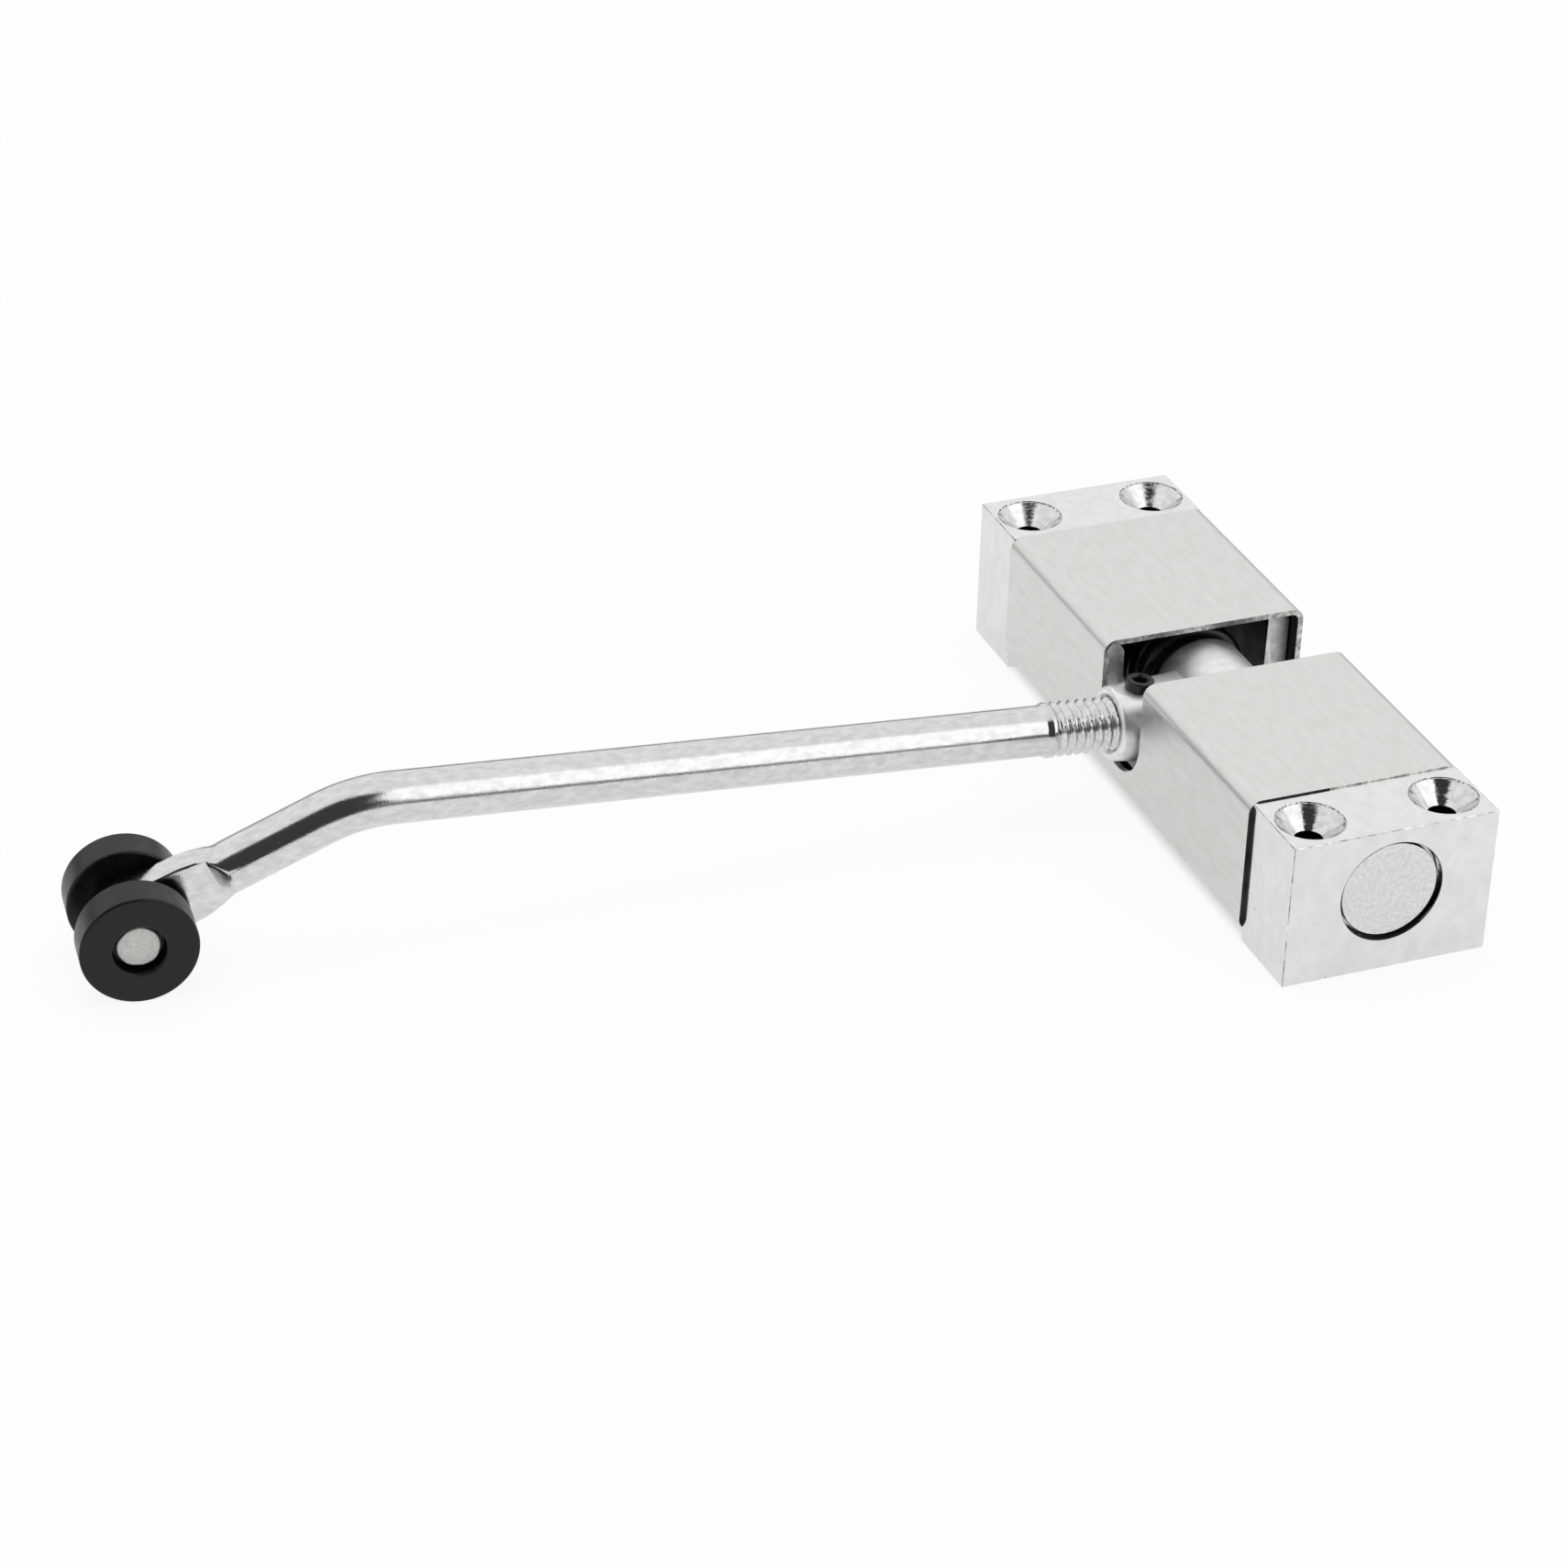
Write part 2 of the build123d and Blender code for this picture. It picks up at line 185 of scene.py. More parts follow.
def open_tree(name: str, kinds: dict[str, str]) -> tuple[Tree, Any]:
    """Starts a geometry tree.

    Args:
        name: The tree's name.
        kinds: Name and socket type of its inputs after the geometry.

    Returns:
        The tree and what its inputs give.
    """
    tree = bpy.data.node_groups.new(name, "GeometryNodeTree")
    shape = {"Geometry": "NodeSocketGeometry"}
    for label, kind in (shape | kinds).items():
        tree.interface.new_socket(name=label, in_out="INPUT", socket_type=kind)
    for label, kind in shape.items():
        tree.interface.new_socket(name=label, in_out="OUTPUT", socket_type=kind)
    return tree, add(tree, "NodeGroupInput").outputs


def close_tree(tree: Tree, shape: Socket, finish: Finish) -> None:
    """Ends a geometry tree with a plain mesh in its finish.

    Args:
        tree: The tree.
        shape: The geometry that it made.
        finish: What the geometry is dressed in.
    """
    plain = add(tree, "GeometryNodeRealizeInstances", inputs={0: shape}).outputs[0]
    dressed = {0: plain, "Material": finish.material()}
    dressed = add(tree, "GeometryNodeSetMaterial", inputs=dressed).outputs[0]
    add(tree, "NodeGroupOutput", inputs={0: dressed})


def linear(code: str) -> tuple[float, float, float, float]:
    """Turns an sRGB hex colour into the linear colour that a shader takes.

    Args:
        code: Six hex digits after a hash.

    Returns:
        Red, green, blue and a full alpha.
    """
    parts = [int(code[i : i + 2], 16) / 255 for i in (1, 3, 5)]
    red, green, blue = (
        c / 12.92 if c <= 0.04045 else ((c + 0.055) / 1.055) ** 2.4 for c in parts
    )
    return red, green, blue, 1.0


# Finishes


@dataclass(frozen=True)
class Relief:
    """One layer of unevenness of a surface.

    Attributes:
        grain: Distance from one high place to the next, in millimetres.
        height: Height of the high places, in millimetres.
        stretch: How many times longer the grain is along X, Y and Z.
        detail: Octaves of finer grain on top.
    """

    grain: float
    height: float
    stretch: Point = (1.0, 1.0, 1.0)
    detail: float = 2.0

    def value(self, tree: Tree, place: Socket) -> Socket:
        """Adds the layer's noise.

        Args:
            tree: The material's tree.
            place: Object coordinates.

        Returns:
            The layer's pattern, from 0 to 1.
        """
        scale = [1 / (self.grain * MM * s) for s in self.stretch]
        mapped = add(tree, "ShaderNodeMapping", inputs={"Vector": place, "Scale": scale})
        noise = {"Vector": mapped.outputs[0], "Scale": 1.0, "Detail": self.detail}
        return add(tree, "ShaderNodeTexNoise", inputs=noise).outputs[0]


@dataclass(frozen=True)
class Pits:
    """Small dark dents scattered over a casting or a plated bar.

    Attributes:
        spacing: Mean distance between dents, in millimetres.
        radius: Radius of the widest dents, in millimetres.
        depth: Their depth, in millimetres.
        share: How much of the surface's colour a dent keeps.
        rare: Share of the places that stay without a dent.
        least: Radius of a place without a dent, against the spacing.
    """

    spacing: float
    radius: float
    depth: float
    share: float
    rare: float = 0.55
    least: float = 0.0005

    def cut(self, tree: Tree, place: Socket, base: Socket) -> tuple[Socket, Socket]:
        """Darkens a colour in the dents.

        Args:
            tree: The material's tree.
            place: Object coordinates.
            base: Colour so far.

        Returns:
            The new colour, and the dents' pattern from 0 in a dent to 1.
        """
        grid = {"Vector": place, "Scale": 1 / (self.spacing * MM), "Randomness": 1.0}
        cells = add(tree, "ShaderNodeTexVoronoi", inputs=grid).outputs
        drawn = add(tree, "ShaderNodeSeparateColor", inputs={0: cells["Color"]}).outputs[0]
        limits = dict(zip(LIMITS, (self.rare, 1.0, self.least, self.radius / self.spacing)))
        reach = add(tree, "ShaderNodeMapRange", inputs={"Value": drawn} | limits).outputs[0]
        limits = {"Value": cells["Distance"], "From Max": reach, "To Min": 0.0, "To Max": 1.0}
        dent = add(tree, "ShaderNodeMapRange", SMOOTH, limits).outputs[0]
        settings = {"data_type": "RGBA", "blend_type": "MULTIPLY"}
        low = add(tree, "ShaderNodeMix", settings, {0: 1.0 - self.share, 6: base, 7: dent})
        return low.outputs[2], dent


@dataclass(frozen=True)
class Finish:
    """A surface finish, or painted shade for places in shade: its colours, how it scatters light
    and how uneven it is.

    Attributes:
        name: What the finish is.
        light: Colour of its cleanest places.
        dark: Colour of its dullest places.
        metallic: 1 for bare or plated metal, 0 for plastic and oil.
        roughness: Roughness of the clean and the dull places.
        patch: The layer that says where it is clean and where dull.
        reliefs: Layers of unevenness, the coarsest first.
        pits: Dents, if it has any.
        coat: Strength of a thin clear film, such as oil.
        shine: How strongly it reflects where it isn't metal.
        span: The patch layer's values for clean and dull.
    """

    name: str
    light: str
    dark: str
    metallic: float
    roughness: Flat
    patch: Relief
    reliefs: tuple[Relief, ...] = ()
    pits: Pits | None = None
    coat: float = 0.0
    shine: float = 0.5
    span: Flat = (0.32, 0.68)

    def material(self) -> bpy.types.Material:
        """Builds the finish once.

        Returns:
            Its material.
        """
        found = bpy.data.materials.get(self.name)
        if found:
            return found
        material = bpy.data.materials.new(self.name)
        tree = empty_tree(material)
        place = add(tree, "ShaderNodeTexCoord").outputs["Object"]
        patch = self.patch.value(tree, place)
        colour = add(tree, "ShaderNodeValToRGB", inputs={"Fac": patch})
        stops = colour.color_ramp.elements
        for stop, position, code in zip(stops, self.span, (self.light, self.dark)):
            stop.position, stop.color = position, linear(code)
        base = colour.outputs["Color"]
        limits = dict(zip(LIMITS, self.span + self.roughness))
        rough = add(tree, "ShaderNodeMapRange", inputs={"Value": patch} | limits).outputs[0]
        layers = [(relief.value(tree, place), relief.height) for relief in self.reliefs]
        if self.pits:
            base, dent = self.pits.cut(tree, place, base)
            layers.append((dent, self.pits.depth))
        below: dict[str | int, Any] = {}
        for pattern, height in layers:
            step = {"Height": pattern, "Distance": height * MM, "Strength": 1.0}
            below = {"Normal": add(tree, "ShaderNodeBump", inputs=step | below).outputs[0]}
        shader = {
            "Base Color": base,
            "Metallic": self.metallic,
            "Roughness": rough,
            "Coat Weight": self.coat,
            "Specular IOR Level": self.shine,
        }
        surface = add(tree, "ShaderNodeBsdfPrincipled", inputs=shader | below).outputs[0]
        add(tree, "ShaderNodeOutputMaterial", inputs={"Surface": surface})
        return material


# Each finish gives its name, its clean and dull colours, how metallic it is, its clean and
# dull roughness, its patches, its reliefs and its pits.

# Bright chrome over a zinc die-casting: a mirror that the casting's slow waves bend, with
# fine polishing scratches and a few pits that the plating sank into.
CHROMED_ZINC = Finish(
    "chromed_zinc_casting", "#efefef", "#e6e6e6", 1.0, (0.12, 0.17),
    Relief(2.0, 1.0, (1.0, 1.0, 1.5), 9.0),
    (
        Relief(7.0, 0.012),
        Relief(0.9, 0.0012, detail=4.0),
        Relief(0.2, 0.0014, (6.0, 1.0, 1.0), 1.0),
    ),
    Pits(2.1, 0.22, 0.03, 0.45),
)

# The countersinks are cut before plating, so their walls are the clearest mirrors, with the
# cutter's rings in them.
CUT_CHROME = Finish(
    "chromed_countersink", "#ececec", "#cfcfd0", 1.0, (0.02, 0.06),
    Relief(1.0, 1.0, detail=4.0),
    (Relief(1.5, 0.055, (1.0, 1.0, 0.7)), Relief(0.4, 0.0012, (3.0, 3.0, 1.0))),
    Pits(0.9, 0.12, 0.02, 0.5),
)

# The plug is a turned piece under thinner plating, so it is duller and grainier.
CAST_PLUG = Finish(
    "plated_plug_face", "#ededed", "#dadadb", 1.0, (0.20, 0.32),
    Relief(0.55, 1.0, detail=6.0),
    (Relief(2.5, 0.012), Relief(0.3, 0.005, detail=3.0)),
    Pits(0.7, 0.11, 0.03, 0.5),
)

# Stainless sheet rubbed along its length: satin, with the rub's fine lines drawn along Y.
SATIN_STAINLESS = Finish(
    "satin_stainless_sheet", "#e6e6e6", "#e0e0df", 1.0, (0.34, 0.41),
    Relief(0.9, 1.0, (1.0, 4.0, 1.0), 6.0),
    (
        Relief(9.0, 0.010),
        Relief(0.5, 0.0010, (1.0, 2.5, 1.0), 3.0),
        Relief(0.13, 0.0013, (1.0, 9.0, 1.0), 2.0),
    ),
    Pits(5.0, 0.16, 0.012, 0.65),
)

# Painted shade: the inside of that sheet, and the cheeks' inner faces, near black for the dark
# inside the housing.
SHADED_SHEET_INSIDE = Finish(
    "painted_shade_sheet_inside", "#242423", "#141413", 0.9, (0.45, 0.60),
    Relief(3.0, 1.0, detail=4.0),
)

# Skin of the castings inside the housing, left as plated, rougher and not polished.
CAST_SKIN = Finish(
    "unpolished_plated_casting", "#f4f4f4", "#dcdcdc", 1.0, (0.34, 0.46),
    Relief(1.0, 1.0, detail=5.0),
    (Relief(1.6, 0.030), Relief(0.3, 0.006)),
    Pits(1.2, 0.14, 0.03, 0.5),
)

# Long edges of the casting, rubbed thin by the polish: a bright line with dull gaps.
RUBBED_EDGE = Finish(
    "rubbed_plated_edge", "#f8f8f8", "#707070", 1.0, (0.12, 0.30),
    Relief(1.3, 1.0, detail=6.0),
    (Relief(0.6, 0.012),),
)

# Cut and plated edges where the polish broke through: bright and black by turns.
WORN_EDGE = Finish(
    "worn_plated_edge", "#f0f0f0", "#303030", 1.0, (0.10, 0.30),
    Relief(0.45, 1.0, detail=3.0),
    (Relief(0.4, 0.040),),
)

# Sheared edge of the sheet at the slot: torn and duller than its faces.
SHEARED_EDGE = Finish(
    "sheared_sheet_edge", "#e2e2e1", "#8e8e8e", 1.0, (0.22, 0.40),
    Relief(0.7, 1.0, detail=4.0),
    (Relief(0.3, 0.012, detail=3.0),),
)

# Painted shade: the sheet's ends, the bore's flared rim and the plug's sides, near black for the
# shaded gaps where they meet.
SHADED_GAP_EDGE = Finish(
    "painted_shade_gap_edge", "#3a3a3a", "#161616", 0.7, (0.35, 0.55),
    Relief(0.6, 1.0, (1.0, 1.0, 4.0), 4.0),
    (Relief(0.3, 0.010, detail=3.0),),
)

# Bright zinc plating on a drawn steel bar: the drawing leaves lines along the bar, and the
# plating a fine orange peel that breaks up the edges of the reflections.
PLATED_ROD = Finish(
    "bright_plated_drawn_steel", "#e6e6e6", "#d2d2d2", 1.0, (0.10, 0.18),
    Relief(0.8, 1.0, (2.0, 1.0, 1.0), 5.0),
    (
        Relief(3.5, 0.010, (3.0, 1.0, 1.0)),
        Relief(0.9, 0.005, detail=3.0),
        Relief(0.26, 0.0080, detail=1.0),
    ),
    Pits(1.6, 0.14, 0.02, 0.6),
)

# The hub is a steel casting with bright plating that keeps the casting's satin skin.
CHROMED_HUB = Finish(
    "chromed_steel_casting", "#fdfdfd", "#f0f0f0", 1.0, (0.40, 0.50),
    Relief(1.2, 1.0, detail=5.0),
    (Relief(3.0, 0.010), Relief(0.4, 0.0026)),
    Pits(1.6, 0.12, 0.02, 0.6),
)

# Rivet steel, tumbled matt: a plain light grey with a faint bloom.
RIVET_STEEL = Finish(
    "tumbled_rivet_steel", "#dcdcdb", "#cccccb", 0.8, (0.55, 0.62),
    Relief(0.5, 1.0, detail=5.0),
    (Relief(0.9, 0.010, detail=3.0),),
)

# Ground steel of the thrust washers, spindle and cross pin: grey, with the wheel's lines.
GROUND_STEEL = Finish(
    "ground_steel", "#b9b9b9", "#9a9a9b", 1.0, (0.22, 0.34),
    Relief(0.8, 1.0, (1.0, 4.0, 1.0), 4.0),
    (Relief(0.2, 0.0018, (1.0, 6.0, 1.0)),),
)

# Sintered bronze, dark with the oil that its pores hold.
OILED_BRONZE = Finish(
    "oiled_sintered_bronze", "#a5814e", "#6e5330", 1.0, (0.35, 0.5),
    Relief(0.5, 1.0, detail=5.0),
    (Relief(0.12, 0.004),),
    coat=0.2,
)

# Spring wire with its black drawing skin and a film of oil.
BLACK_SPRING = Finish(
    "oiled_black_spring_wire", "#0b0b0c", "#131212", 0.0, (0.24, 0.40),
    Relief(1.5, 1.0, detail=4.0),
    (Relief(0.4, 0.003),),
)

# Black oxide on the set screw: thin, slightly shiny.
BLACK_OXIDE = Finish(
    "black_oxide_screw_steel", "#161617", "#242424", 0.3, (0.20, 0.36),
    Relief(0.7, 1.0, detail=4.0),
    (Relief(0.25, 0.004),),
)

# Black nylon as it leaves the mould: satin, with a very fine bloom and a few rubs.
BLACK_NYLON = Finish(
    "moulded_black_nylon", "#070708", "#0c0c0d", 0.0, (0.27, 0.37),
    Relief(1.6, 1.0, detail=6.0),
    (Relief(2.2, 0.006), Relief(0.25, 0.0018)),
    shine=0.36,
)

# The finishes of an end block's faces.
BLOCK_FINISHES = {
    Skin.POLISHED: CHROMED_ZINC,
    Skin.COUNTERSUNK: CUT_CHROME,
    Skin.WORN: WORN_EDGE,
    Skin.CAST: CAST_SKIN,
    Skin.GREASY: SHADED_SHEET_INSIDE,
    Skin.DIRTY: SHADED_GAP_EDGE,
    Skin.RUBBED: RUBBED_EDGE,
}


# Meshes


def make_object(name: str, mesh: Mesh, *finishes: Finish) -> Piece:
    """Links a mesh to the scene under its own name.

    Args:
        name: The object's name.
        mesh: Its mesh.
        finishes: The finishes that its faces may have.

    Returns:
        The new object.
    """
    piece = bpy.data.objects.new(name, mesh)
    bpy.context.scene.collection.objects.link(piece)
    for finish in finishes:
        mesh.materials.append(finish.material())
    return piece


def loose_mesh(
    name: str,
    points: Iterable[Sequence[float]],
    faces: Iterable[Sequence[int]] = (),
    edges: Iterable[Sequence[int]] = (),
) -> Mesh:
    """Makes a mesh in metres as it is given.

    Args:
        name: The mesh's name.
        points: Places of its corners, in millimetres.
        faces: Corner numbers of each face.
        edges: Corner numbers of each edge that belongs to no face.

    Returns:
        The mesh.
    """
    mesh = bpy.data.meshes.new(name)
    places = [[c * MM for c in p] for p in points]
    mesh.from_pydata(places, list(edges), [list(f) for f in faces])
    return mesh


def tidy(mesh: Mesh, merge: float = 0.002, sliver: float = 0.0002, sharp: bool = True) -> Mesh:
    """Merges doubles, drops slivers, turns faces outwards and shades by angle.

    Args:
        mesh: The mesh to clean.
        merge: Distance under which corners are one, or 0 to keep every corner.
        sliver: Size under which an edge or a face is dropped.
        sharp: Whether edges over the smooth angle are marked as sharp.

    Returns:
        The same mesh.
    """
    work = bmesh.new()
    work.from_mesh(mesh)
    if merge:
        bmesh.ops.remove_doubles(work, verts=work.verts, dist=merge * MM)
        bmesh.ops.dissolve_degenerate(work, edges=work.edges, dist=sliver * MM)
    bmesh.ops.recalc_face_normals(work, faces=work.faces)
    work.to_mesh(mesh)
    work.free()
    mesh.shade_smooth()
    if sharp:
        mesh.set_sharp_from_angle(angle=SMOOTH_ANGLE)
    mesh.update()
    return mesh


def mirrored(mesh: Mesh, axis: Point) -> Mesh:
    """Turns a mesh into its mirror image."""
    mesh.transform(Matrix.Scale(-1, 4, axis))
    return tidy(mesh)


def band(here: int, after: int, around: int) -> list[tuple[int, ...]]:
    """Numbers the faces between two rings of corners.

    Args:
        here: Number of the first ring.
        after: Number of the second ring.
        around: Corners in each ring.

    Returns:
        Four corner numbers for each face.
    """
    a, b = here * around, after * around
    steps = [(k, (k + 1) % around) for k in range(around)]
    return [(a + k, a + n, b + n, b + k) for k, n in steps]


def frame_matrix(
    origin: Sequence[float], axis: Sequence[float], side: Sequence[float]
) -> np.ndarray:
    """Matrix from a local frame, whose Z is an axis, to the shared frame, in millimetres.

    Args:
        origin: Where the local origin is.
        axis: Direction of the local Z axis.
        side: Direction of the local X axis, made square to the axis.

    Returns:
        A 4 by 4 matrix.
    """
    z = np.array(axis, float) / np.linalg.norm(axis)
    x = np.array(side, float) - z * np.dot(side, z)
    x /= np.linalg.norm(x)
    made = np.eye(4)
    made[:3, 0], made[:3, 1], made[:3, 2], made[:3, 3] = x, np.cross(z, x), z, origin
    return made


def placed(points: Sequence[Sequence[float]], frame: np.ndarray) -> np.ndarray:
    """Moves points from a local frame to the shared frame."""
    return np.array(points, float) @ frame[:3, :3].T + frame[:3, 3]


def arc(centre: Flat, radius: float, start: float, end: float, steps: int) -> list[Flat]:
    """Points along an arc in a plane, both ends included."""
    turns = np.radians(np.linspace(start, end, steps + 1))
    return [(centre[0] + radius * math.cos(t), centre[1] + radius * math.sin(t)) for t in turns]


def rounded(profile: Profile, radii: dict[int, float], steps: int = 4) -> list[Flat]:
    """Rounds chosen corners of a closed outline.

    Args:
        profile: Corners of the outline.
        radii: Corner number to radius.
        steps: Faces round each corner.

    Returns:
        The outline with its corners rounded.
    """
    made: list[Flat] = []
    for i, corner in enumerate(profile):
        here = np.array(corner, float)
        if i not in radii:
            made.append(tuple(here))
            continue
        radius = radii[i]
        before = np.array(profile[i - 1], float) - here
        after = np.array(profile[(i + 1) % len(profile)], float) - here
        before /= np.linalg.norm(before)
        after /= np.linalg.norm(after)
        half = math.acos(max(-1.0, min(1.0, float(before @ after)))) / 2
        cut = radius / math.tan(half)
        inward = (before + after) / np.linalg.norm(before + after)
        middle = here + inward * radius / math.sin(half)
        first, last = here + before * cut - middle, here + after * cut - middle
        for k in range(steps + 1):
            blend = first * (1 - k / steps) + last * (k / steps)
            made.append(tuple(middle + blend / np.linalg.norm(blend) * radius))
    return made


def lathe(
    name: str,
    profile: Profile,
    frame: np.ndarray,
    segments: int = 96,
    wobble: Callable[[float, float], float] | None = None,
) -> Mesh:
    """Turns a closed outline of (radius, height) about a frame's Z axis.

    Args:
        name: The mesh's name.
        profile: The outline. Corners at radius 0 lie on the axis.
        frame: Where the axis is.
        segments: Faces round the axis.
        wobble: Gives a factor on the radius from the turn and the height, if it isn't round.

    Returns:
        The closed mesh.
    """
    points, faces = [], []
    for row, (radius, height) in enumerate(profile):
        after = (row + 1) % len(profile)
        for turn in np.arange(segments) * FULL_TURN / segments:
            reach = radius * (wobble(turn, height) if wobble else 1.0)
            points.append((reach * math.cos(turn), reach * math.sin(turn), height))
        faces += band(row, after, segments) if radius or profile[after][0] else []
    return tidy(loose_mesh(name, placed(points, frame), faces))


def cylinder(
    name: str, radius: float, low: float, high: float, frame: np.ndarray, segments: int
) -> Mesh:
    """Makes a cylinder about a frame's Z axis."""
    return lathe(name, [(0, low), (radius, low), (radius, high), (0, high)], frame, segments)


def prism(name: str, outline: Profile, frame: np.ndarray, low: float, high: float) -> Mesh:
    """Extrudes a flat outline along a frame's Z axis.

    Args:
        name: The mesh's name.
        outline: The outline, anticlockwise.
        frame: Where the outline's plane is.
        low: Where the prism starts.
        high: Where it ends.

    Returns:
        The closed mesh.
    """
    count = len(outline)
    points = [(x, y, z) for z in (low, high) for x, y in outline]
    faces = [tuple(range(count))[::-1], tuple(range(count, 2 * count)), *band(0, 1, count)]
    return tidy(loose_mesh(name, placed(points, frame), faces))


def bake_modifiers(piece: Piece) -> None:
    """Replaces a piece's mesh by the one that its modifiers give, and removes them.

    Args:
        piece: The piece.
    """
    bpy.context.view_layer.update()
    graph = bpy.context.evaluated_depsgraph_get()
    made = bpy.data.meshes.new_from_object(piece.evaluated_get(graph), depsgraph=graph)
    old, name = piece.data, piece.data.name
    piece.modifiers.clear()
    piece.data = made
    if not old.users:
        bpy.data.meshes.remove(old)
    made.name = name


def combine(base: Piece, cut: Cut, tools: Sequence[Mesh]) -> None:
    """Joins solids to a piece or removes them from it, and leaves a plain mesh.

    Args:
        base: The piece that is changed.
        cut: Whether the tools are joined or removed.
        tools: Closed meshes in the shared frame.
    """
    for tool in tools:
        cutter = make_object(f"{base.name}_cutter", tool)
        step = base.modifiers.new("cut", "BOOLEAN")
        step.operation, step.solver, step.object = cut.value, "EXACT", cutter
        bake_modifiers(base)
        bpy.data.objects.remove(cutter)
    tidy(base.data)


def run_tree(piece: Piece, tree: Tree, values: dict[str, Any]) -> None:
    """Runs a geometry tree on a piece and leaves the plain mesh that it gives.

    Args:
        piece: The piece that the tree changes.
        tree: The tree.
        values: Values for the tree's inputs, by name.
    """
    step = piece.modifiers.new(tree.name, "NODES")
    step.node_group = tree
    for item in tree.interface.items_tree:
        if item.item_type == "SOCKET" and item.in_out == "INPUT" and item.name in values:
            step[item.identifier] = values[item.name]
    bake_modifiers(piece)


def paint(
    piece: Piece,
    finishes: Sequence[Finish],
    pick: Callable[[bpy.types.MeshPolygon], int] | None = None,
) -> None:
    """Gives a piece its finishes in place of what its cuts left.

    Args:
        piece: The piece.
        finishes: Its finishes, in the order of their numbers.
        pick: Gives the number for a face, where there is more than one finish.
    """
    piece.data.materials.clear()
    for finish in finishes:
        piece.data.materials.append(finish.material())
    for face in piece.data.polygons if pick else ():
        face.material_index = int(pick(face))


def even_shading(piece: Piece) -> None:
    """Keeps flat faces flat beside their rounded edges, so that a mirror finish stays true."""
    step = piece.modifiers.new("even_shading", "WEIGHTED_NORMAL")
    step.mode, step.weight, step.keep_sharp = "FACE_AREA", 100, True


def settle(piece: Piece, body: Body, node: str) -> None:
    """Puts a finished piece in the place of its node and reports it.

    Args:
        piece: The piece.
        body: The rigid body that it moves with.
        node: The node that it stands for.
    """
    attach(piece, body.value)
    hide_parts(node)
    log.info("%s: %d faces", piece.name, len(piece.data.polygons))


# The object's own geometry


@dataclass(frozen=True)
class ArmLine:
    """Where the rod, its bend and its rollers' pin lie.

    Attributes:
        spindle_height: Height of the spindle's axis over the mounting face.
        boss_drop: How far the rod's axis passes under the spindle's.
        tilt: Rise of the rod, in degrees.
        reach: Distance from the hub's middle to the bend's corner.
        tail_length: Distance from the bend's corner to the rollers' pin.
        tail_sweep: Turn of the tail towards the rear end, in degrees.
        roller_radius: Height of the pin over the mounting face.
        bend_radius: Radius of the bend.
    """

    spindle_height: float = 11.858
    boss_drop: float = 0.92
    tilt: float = 4.58
    reach: float = 125.7
    tail_length: float = 32.85
    tail_sweep: float = 4.8
    roller_radius: float = 7.8
    bend_radius: float = 20.0

    @property
    def origin(self) -> np.ndarray:
        """Where the rod's axis passes under the spindle's."""
        return np.array((0.0, 0.0, self.spindle_height - self.boss_drop))

    @property
    def direction(self) -> np.ndarray:
        """Direction of the straight rod, away from the hub."""
        tilt = math.radians(self.tilt)
        return np.array((-math.cos(tilt), 0.0, math.sin(tilt)))

    @property
    def above(self) -> np.ndarray:
        """Direction square to the straight rod, up."""
        tilt = math.radians(self.tilt)
        return np.array((math.sin(tilt), 0.0, math.cos(tilt)))

    @property
    def bend(self) -> np.ndarray:
        """Where the rod's two straight axes meet."""
        return self.origin + self.direction * self.reach

    @property
    def tail_direction(self) -> np.ndarray:
        """Direction of the bent end, down to the pin."""
        drop = math.asin((self.bend[2] - self.roller_radius) / self.tail_length)
        sweep = math.radians(self.tail_sweep)
        level = math.cos(drop)
        return np.array((-math.cos(sweep) * level, math.sin(sweep) * level, -math.sin(drop)))

    @property
    def bend_turn(self) -> float:
        """Angle of the bend."""
        return math.acos(float(np.dot(self.direction, self.tail_direction)))

    @property
    def bend_cut(self) -> float:
        """Distance from the bend's corner to where the bend starts, and to where it stops."""
        return self.bend_radius * math.tan(self.bend_turn / 2)

    @property
    def bend_start(self) -> float:
        """Distance along the rod at which the bend starts."""
        return self.reach - self.bend_cut

    @property
    def bend_stop(self) -> float:
        """Distance along the rod at which the bend stops."""
        return self.bend_start + self.bend_radius * self.bend_turn

    @property
    def pin_direction(self) -> np.ndarray:
        """Direction of the rollers' pin, towards the rear end."""
        sweep = math.radians(self.tail_sweep)
        return np.array((math.sin(sweep), math.cos(sweep), 0.0))

    def pin_frame(self, end: End) -> np.ndarray:
        """Frame on the middle of the rollers' pin."""
        pin = self.bend + self.tail_direction * self.tail_length
        return frame_matrix(pin, self.pin_direction * end.value, (0, 0, 1))

    def across_frame(self, distance: float) -> np.ndarray:
        """Frame on the straight rod's axis with Z up, square to the rod."""
        return frame_matrix(self.origin + self.direction * distance, self.above, self.direction)

    def along_frame(self) -> np.ndarray:
        """Frame at the hub's middle with Z along the straight rod and X up."""
        return frame_matrix(self.origin, self.direction, self.above)


LINE = ArmLine()

# The springs' legs: their distance from the spindle's axis, the radius of the holes for them
# and how far the block's and the hub's legs are turned from straight up, in degrees.
LEG_PLACE = 7.059
LEG_HOLE = 1.45
BLOCK_LEG_TURN = 180.0
HUB_LEG_TURN = 120.0


def spindle_frame() -> np.ndarray:
    """Frame on the spindle's axis, with Z towards the rear end and X up."""
    return frame_matrix((0, 0, LINE.spindle_height), (0, 1, 0), (0, 0, 1))


def leg_frame(angle: float) -> np.ndarray:
    """Frame on a spring leg's line.

    Args:
        angle: How far the leg is turned from straight up, in degrees.

    Returns:
        The frame's matrix.
    """
    turn = math.radians(angle)
    place = (LEG_PLACE * math.sin(turn), 0.0, LINE.spindle_height + LEG_PLACE * math.cos(turn))
    return frame_matrix(place, (0, 1, 0), (0, 0, 1))


